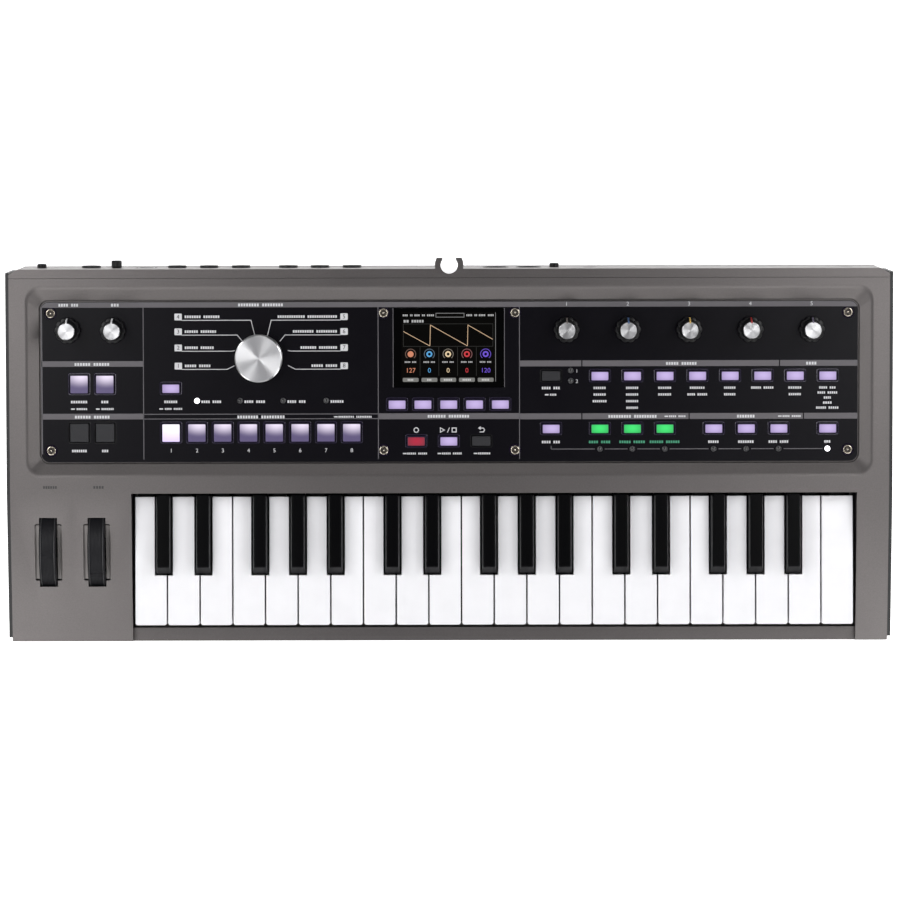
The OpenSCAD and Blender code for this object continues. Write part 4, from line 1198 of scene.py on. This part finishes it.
def loop_icons(bm):
    """A ring, a triangle with a square, and a return arrow."""
    ring = [(-19.75 + 1.35*math.cos(a*math.pi/12), -28.9 + 1.35*math.sin(a*math.pi/12))
            for a in range(24)]
    strip(bm, ring, 0.5, *INK, closed=True)
    strip(bm, [(-5.4, -27.6), (-5.4, -30.2), (-3.0, -28.9)], 0.45, *INK, closed=True)
    strip(bm, [(-1.2, -30.4), (0.0, -27.4)], 0.4, *INK)
    strip(bm, [(1.6, -27.7), (4.0, -27.7), (4.0, -30.1), (1.6, -30.1)], 0.5, *INK, closed=True)
    strip(bm, [(18.2, -27.8), (20.2, -27.8), (20.9, -28.9), (20.2, -30.1), (18.0, -30.1)], 0.5,
          *INK)
    prism(bm, [(18.6, -26.7), (18.6, -28.9), (17.0, -27.8)], *INK)


def captions():
    """Plain bars in place of words, with short dashes before some of them."""
    bm = bmesh.new()
    green = bmesh.new()
    words(bm, -11.8, ((-220.1, 10.0), (-204.8, 4.5), (FIRST_PROGRAM_X, 8.0)))
    for x, width in ((-220.1, 6.5), (-204.8, 7.5), (FIRST_PROGRAM_X, 10.5)):
        dash(bm, x - width/2 - 0.6, -16.0)
        word(bm, x + 1.6, -16.0, width, 1.15)
    words(bm, -41.0, ((-220.1, 9.0), (-204.8, 4.0)))
    for i, width in enumerate((12.0, 12.5, 11.0, 8.0)):
        word(bm, BANK_LAMP_X + BANK_LAMP_PITCH*i + 2.6 + width/2, BANK_LAMP_ROW - 0.6, width)
    for x, width in ((-19.75, 12.0), (0.9, 12.0), (22.4, 7.5)):
        dash(bm, x - 6.9, -42.9)
        word(bm, x - 5.4 + width/2, -42.9, width, 1.15)
    word(bm, TIMBRE_X, -4.0, 11.0)
    dash(bm, TIMBRE_X - 2.6, -8.0)
    word(bm, TIMBRE_X + 1.3, -8.0, 4.0, 1.15)
    columns = ((7.5, 7.5, 8.5), (7.5, 7.5, 7.5, 7.2), (8.0, 8.0), (9.0, 12.0), (7.0, 7.0),
               (13.5,), (8.0, 7.5), (10.0, 12.0, 4.5, 5.5, 13.5))
    for i, widths in enumerate(columns):
        pitch = 3.95 if len(widths) < 5 else 3.0
        for row, width in enumerate(widths):
            word(bm, EDIT_X + EDIT_PITCH*i, -4.0 - pitch*row, width, 1.35)
    for i, width in enumerate((11.0, 13.0, 15.5, 18.0, 6.5, 9.5, 12.0, 4.0)):
        word(green if 1 <= i <= 3 else bm, EFFECT_X[i], -36.2, width)
    # captions inside the bands
    words(bm, 45.8, ((-226.1, 12.0), (-198.4, 5.0), (-111.9, 27.0)), 1.7)
    word(bm, -212.3, 10.6, 21.0, 1.7)
    words(bm, 10.5, ((138.1, 18.5), (215.4, 6.5)), 1.7)
    for x, y, width in ((-212.3, -20.8, 21.0), (-111.9, -20.9, 28.4), (-0.4, -20.7, 25.0),
                        (109.1, -21.0, 29.0), (176.5, -21.0, 10.8)):
        word(bm, x, y, width, 1.7)
    for x, y, width in ((-56.0, -20.9, 20.0), (135.7, -21.0, 10.0), (203.7, -21.0, 11.0)):
        dash(bm, x - width/2 - 1.6, y)
        word(bm, x, y, width, 1.15)
    loop_icons(bm)
    printed("caption_bars", bm, WHITE_PRINT)
    printed("caption_bars_green", green, GREEN_PRINT)
    marks = bmesh.new()
    for name, width in (("pitch_wheel", 8.5), ("mod_wheel", 6.5)):
        word(marks, middle_x(name) + 1.7, 3.8, width, 1.6)
    add_object("wheel_captions", marks, DARK_PRINT, at=on_panel(0, CREASE_V, DISH_DEPTH),
               slot="case_grey_top")


header_band()
section_bands()
rules()
selector_marks()
captions()
panel_digits()

# ---------------------------------------------------------------- display

SCREEN_X = (-28.4, 27.7)
SCREEN_Y = (-0.6, 41.4)
GLASS_TOP = -0.1
SCREEN_INK = (GLASS_TOP - 0.02, GLASS_TOP + 0.04)
ICON_X = [-23.0 + 11.15*i for i in range(5)]
ICON_ROW = 16.3
ICON_VALUES = ("127", "0", "0", "0", "120")
ICON_COLORS = ((0.62, 0.24, 0.14), (0.10, 0.36, 0.68), (0.74, 0.58, 0.36), (0.58, 0.05, 0.06),
               (0.16, 0.09, 0.62))
ICON_ARCS = ((0.16, 0.10, 0.08), (0.10, 0.13, 0.16), (0.20, 0.18, 0.15), (0.22, 0.10, 0.10),
             (0.13, 0.08, 0.48))


def screen_piece(name, bm, ink, color):
    """Something shown on the display, in a glowing ink of its own."""
    made = Material(ink, tuple(c*0.05 for c in color), roughness=0.3, specular=0.06)
    made.mottled(size=2.0, amount=0.1)
    made.lit(color, 1.0)
    add_object(name, bm, made.data, at=PANEL, slot="display_glass")


def screen_outline(bm, x0, x1, y0, y1, width):
    """A thin frame on the display."""
    strip(bm, [(x0, y0), (x1, y0), (x1, y1), (x0, y1)], width, *SCREEN_INK, closed=True)


def display_frames():
    """Dim dividing lines, a brighter box and a bar."""
    dim = bmesh.new()
    screen_outline(dim, -27.3, 25.9, 20.9, 34.3, 0.2)
    for x in ICON_X[:-1]:
        strip(dim, [(x + 5.6, 3.4), (x + 5.6, 20.4)], 0.2, *SCREEN_INK)
    screen_piece("display_frames", dim, "screen_dim", (0.045, 0.045, 0.042))
    bar = bmesh.new()
    screen_outline(bar, -7.9, 8.8, 38.3, 40.6, 0.35)
    strip(bar, [(27.5, 0.0), (27.5, 41.0)], 0.3, *SCREEN_INK)
    screen_piece("display_bar", bar, "screen_bar", (0.20, 0.20, 0.20))


def display_words():
    """Blocks in place of the words on the display, and five tags under them."""
    light = bmesh.new()
    words(light, 39.4, ((-26.0, 3.2), (-22.4, 1.6), (-19.0, 3.4), (-15.2, 2.0), (-11.0, 4.4),
                        (12.0, 3.6), (15.9, 1.8), (19.6, 4.0), (24.8, 3.6)), 1.1)
    words(light, 35.9, ((-25.4, 3.4), (-18.6, 7.5)))
    words(light, 11.6, [(x, 7.0) for x in ICON_X], 0.9)
    light.transform(Matrix.Translation((0, 0, GLASS_TOP - 0.03)))
    screen_piece("display_words", light, "screen_light", (0.42, 0.42, 0.42))
    tags = bmesh.new()
    for x in ICON_X:
        prism(tags, rounded(9.4, 2.4, 0.6, 3, x, 1.0), *SCREEN_INK)
    screen_piece("display_tags", tags, "screen_tag", (0.19, 0.19, 0.18))
    marks = bmesh.new()
    words(marks, 1.0, zip(ICON_X, (3.6, 2.8, 5.2, 5.2, 4.6)), 1.1)
    marks.transform(Matrix.Translation((0, 0, GLASS_TOP)))
    screen_piece("display_tag_marks", marks, "screen_mark", (0.55, 0.55, 0.54))


def display_trace():
    """A sawtooth wave in three strokes."""
    bm = bmesh.new()
    for points in ([(-27.2, 29.8), (-11.6, 21.2)], [(-11.5, 21.2), (-11.2, 33.6), (10.7, 21.2)],
                   [(10.8, 21.2), (11.1, 33.6), (25.8, 25.1)]):
        strip(bm, points, 0.36, *SCREEN_INK)
    screen_piece("display_trace", bm, "screen_trace", (0.62, 0.43, 0.27))


def display_icon(index, x, color, arc_color):
    """A dial with an arc round it, and its value underneath."""
    bm = bmesh.new()
    turns = [math.radians(a) for a in range(-50, 231, 20)]
    arc = [(x + 3.05*math.cos(a), ICON_ROW + 3.05*math.sin(a)) for a in turns]
    strip(bm, arc, 0.42, *SCREEN_INK)
    screen_piece("display_arc_%d" % index, bm, "screen_arc_%d" % index, arc_color)
    bm = bmesh.new()
    low, high = SCREEN_INK
    hole = 0.0 if index == 1 else 0.85
    profile = [(hole, low), (1.8, low), (1.8, high), (hole, high)]
    lathe(bm, profile + (profile[:1] if hole else []), 32, at=(x, ICON_ROW))
    letters(bm, ICON_VALUES[index - 1], 3.9, x, 6.5, *SCREEN_INK)
    screen_piece("display_icon_%d" % index, bm, "screen_icon_%d" % index, color)


def display():
    """Everything the display shows."""
    bm = bmesh.new()
    block(bm, *SCREEN_X, *SCREEN_Y, GLASS_TOP - 0.02, GLASS_TOP + 0.01)
    screen_piece("display_screen", bm, "screen_black", (0.0015, 0.0013, 0.001))
    display_frames()
    display_words()
    display_trace()
    for i in range(5):
        display_icon(i + 1, ICON_X[i], ICON_COLORS[i], ICON_ARCS[i])


display()

# ---------------------------------------------------------------- rear sockets, feet

REAR_LEAN = math.radians(4)
SOCKET_Z = 32.0
REAR_EDGE_Y = 107.5
REAR_TOP_Z = box_mm("rear_panel")[1].z
POWER_X = 84.0
USB_X = -181.0
REAR_BUTTON_X = (-243.6, 62.8)


def on_rear(x, z=SOCKET_Z, out=0.0):
    """The frame of a socket on the leaning rear wall, Z out of the wall."""
    y = REAR_EDGE_Y + (REAR_TOP_Z - z)*math.tan(REAR_LEAN)
    return (Matrix.Translation((x, y, z)) @ Matrix.Rotation(REAR_LEAN - math.pi/2, 4, "X")
            @ Matrix.Translation((0, 0, out)))


METAL_COLLARS = ("microphone_jack", "headphone_jack")


def rear_ring(name, profile, count, material, x):
    """A turned piece set into the rear wall."""
    turned(name, profile, count, material, at=on_rear(x), slot="boards")


def jack_collar(name, x):
    """The collar round a jack socket and the metal sleeve inside it."""
    rear_ring(name + "_collar",
              [(3.28, -3.0), (4.3, -3.0), (4.6, 0.02), (4.6, 0.5), (4.45, 0.75), (4.1, 0.85),
               (3.6, 0.85), (3.28, 0.6), (3.28, -3.0)], 72,
              NUT_METAL if name in METAL_COLLARS else SOCKET_BLACK, x)
    rear_ring(name + "_sleeve",
              [(3.25, -8.0), (3.6, -8.0), (3.6, -5.0), (3.25, -5.0), (3.25, -8.0)], 48,
              NUT_METAL, x)


for mount in frame["record"]["mounts"]:
    if mount["name"].endswith("_jack"):
        jack_collar(mount["name"], mount["pos_m"][0]/MM)


def din_socket(name, x):
    """A round socket with five contacts."""
    rear_ring(name + "_ring",
              [(6.7, -2.8), (7.55, -2.8), (7.55, 0.1), (7.3, 0.35), (6.95, 0.35), (6.7, 0.1),
               (6.7, -2.8)], 72, SOCKET_BLACK, x)
    rear_ring(name + "_insert", [(0.0, -11.9), (6.6, -11.9), (6.6, -9.0), (0.0, -9.0)], 48,
              SOCKET_BLACK, x)
    bm = bmesh.new()
    for i in range(5):
        angle = math.radians(180 + 45*i)
        lathe(bm, [(0.35, -9.1), (0.75, -9.1), (0.75, -5.6), (0.35, -5.6), (0.35, -9.1)], 16,
              at=(4.4*math.cos(angle), -4.4*math.sin(angle)))
    add_object(name + "_contacts", bm, NUT_METAL, at=on_rear(x), slot="boards")


for mount in frame["record"]["mounts"]:
    if mount["name"].startswith("midi_"):
        din_socket(mount["name"], mount["pos_m"][0]/MM)


def small_sockets():
    """The pin of the power inlet, and the shell and tongue of the square USB socket."""
    rear_ring("power_inlet_pin",
              [(0.0, -9.0), (0.6, -9.0), (0.6, -0.5), (0.35, -0.2), (0.0, -0.2)], 24, NUT_METAL,
              POWER_X)
    bm = bmesh.new()
    top = prism(bm, rounded(5.4, 3.2, 0.3, 3), -9.5, -1.2)
    round_edges(bm, top.edges, 0.3, 2)
    add_object("usb_socket_tongue", bm, SOCKET_BLACK, at=on_rear(USB_X), slot="boards")
    bm = bmesh.new()
    outer = rounded(9.6, 8.9, 0.6, 3)
    inner = rounded(8.5, 7.8, 0.4, 3)
    rings = [[bm.verts.new((x, y, z)) for x, y in outline]
             for outline, z in ((outer, -2.0), (outer, 0.15), (inner, 0.15), (inner, -2.0))]
    for i in range(4):
        ribbon(bm, rings[i - 1], rings[i])
    add_object("usb_socket_shell", bm, NUT_METAL, at=on_rear(USB_X), slot="boards")


small_sockets()


def rear_controls():
    """The ribbed level knob and the two push buttons on the rear wall."""
    place = on_rear(middle_x("rear_level_knob"))
    radius = half_width("rear_level_knob")
    rear_y = box_mm("rear_level_knob")[1].y
    reach = (rear_y - place.translation.y)/math.cos(REAR_LEAN) - radius*math.tan(REAR_LEAN)

    def ribs(r, z, angle):
        if r > 2.5 and 1.0 < z < reach - 0.6:
            return 1.0 - 0.05*(0.5 + 0.5*math.cos(18*angle))
        return 1.0

    bm = bmesh.new()
    lathe(bm, [(0.0, -11.5), (2.9, -11.5), (2.9, 0.4), (radius - 0.2, 0.5), (radius, 0.9),
               (radius, 1.2), (radius, reach - 0.8), (radius - 0.1, reach - 0.4),
               (radius - 0.5, reach), (0.0, reach)], 144, ribs)
    made = add_object("rear_level_knob_cap", bm, KNOB_BLACK, body="rear_level_knob", at=place,
                      slot="rear_black")
    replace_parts(made, "rear_level_knob")
    for index, x in enumerate(REAR_BUTTON_X, start=1):
        button = turned("rear_button_%d" % index,
                        [(0.0, -5.0), (2.8, -5.0), (2.85, -4.8), (2.85, 1.9), (2.6, 2.35),
                         (2.1, 2.5), (1.9, 2.35), (0.0, 2.25)], 48, KNOB_BLACK,
                        body="rear_buttons", at=on_rear(x), slot="rear_black")
        if index == 1:
            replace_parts(button, "rear_buttons")


rear_controls()


def feet():
    """Four rubber feet, each with a hollow in its middle."""
    low, high = box_mm("rubber_feet")
    radius = 8.0
    profile = [(0.0, 0.6), (4.0, 0.6), (4.6, 0.0), (6.6, 0.0), (7.4, 0.25), (radius, 1.2),
               (radius, 3.6), (7.6, 4.0), (0.0, 4.0)]
    places = [(x, y, 0) for x in (low.x + radius, high.x - radius)
              for y in (low.y + radius, high.y - radius)]
    for index, place in enumerate(places, start=1):
        foot = turned("rubber_foot_%d" % index, profile, 64, RUBBER, slot="feet_rubber",
                      at=Matrix.Translation(place))
        if index == 1:
            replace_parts(foot, "rubber_feet")


feet()

# ---------------------------------------------------------------- floor, light and camera

FLOOR = 2600.0


def floor_material():
    """White paper that also glows a little, so that it stays white to its edges."""
    made = Material("floor_white", (0.93, 0.93, 0.93), roughness=0.9)
    made.mottled(size=200.0, amount=0.01)
    made.lit((1.0, 1.0, 1.0), 0.9)
    return made.data


def floor():
    """A wide pale floor under the instrument."""
    bm = bmesh.new()
    block(bm, -FLOOR, FLOOR, -FLOOR, FLOOR, -6.0, 0.0)
    bm.transform(Matrix.Scale(MM, 4))
    mesh = bpy.data.meshes.new("floor")
    bm.to_mesh(mesh)
    bm.free()
    mesh.materials.append(floor_material())
    piece = bpy.data.objects.new("floor", mesh)
    SCENE.collection.objects.link(piece)


def area_light(name, place, target, size, power):
    """A rectangular light, turned to its target."""
    data = bpy.data.lights.new(name, "AREA")
    data.shape = "RECTANGLE"
    data.size, data.size_y = size
    data.energy = power
    light = bpy.data.objects.new(name, data)
    light.location = place
    light.rotation_euler = (Vector(target) - Vector(place)).to_track_quat("-Z", "Y").to_euler()
    SCENE.collection.objects.link(light)


def sky():
    """A dark room with a soft light straight overhead."""
    world = bpy.data.worlds.new("studio")
    world.use_nodes = True
    SCENE.world = world
    tree = world.node_tree
    coords = tree.nodes.new("ShaderNodeTexCoord")
    split = tree.nodes.new("ShaderNodeSeparateXYZ")
    ramp = tree.nodes.new("ShaderNodeValToRGB")
    low, high = ramp.color_ramp.elements
    low.color = (0.12, 0.12, 0.12, 1)
    high.color = (0.24, 0.24, 0.253, 1)
    ramp.color_ramp.elements.new(0.75).color = (0.03, 0.03, 0.03, 1)
    tree.links.new(coords.outputs["Generated"], split.inputs[0])
    tree.links.new(split.outputs["Z"], ramp.inputs["Fac"])
    tree.links.new(ramp.outputs["Color"], tree.nodes["Background"].inputs["Color"])


def softbox_pair(name, x, y, z, power, size=(0.16, 0.36)):
    """The same light on the left and on the right, facing the instrument."""
    for side, end in ((-1, "left"), (1, "right")):
        target = (0.2*side*x, 0.2*y, 0.05)
        area_light(name + "_" + end, (side*x, y, z), target, size, power)


floor()
sky()
softbox_pair("side_front", 0.40, -0.50, 0.60, 0.8, (0.16, 0.6))
softbox_pair("side_low", 0.42, -0.35, 0.38, 0.8, (0.16, 0.9))
softbox_pair("side_middle", 0.385, 0.05, 0.50, 0.57)
softbox_pair("side_rear", 0.58, 0.33, 0.60, 1.8)
area_light("front_box", (0.0, -0.9, 0.9), (0, 0, 0.05), (0.5, 0.36), 1.65)
area_light("rear_box", (0.0, 0.9, 0.9), (0, 0, 0.05), (0.5, 0.36), 0.75)

CAMERA_HEIGHT = 3.0585
camera_data = bpy.data.cameras.new("camera")
camera_data.sensor_width = 36
camera_data.lens = 202.35
camera_data.clip_end = 20
camera = bpy.data.objects.new("camera", camera_data)
camera.location = (0.0003, 0.0, CAMERA_HEIGHT)
camera.rotation_euler = (0, 0, -0.00203)
SCENE.collection.objects.link(camera)
SCENE.camera = camera
SCENE.view_settings.view_transform = "Standard"
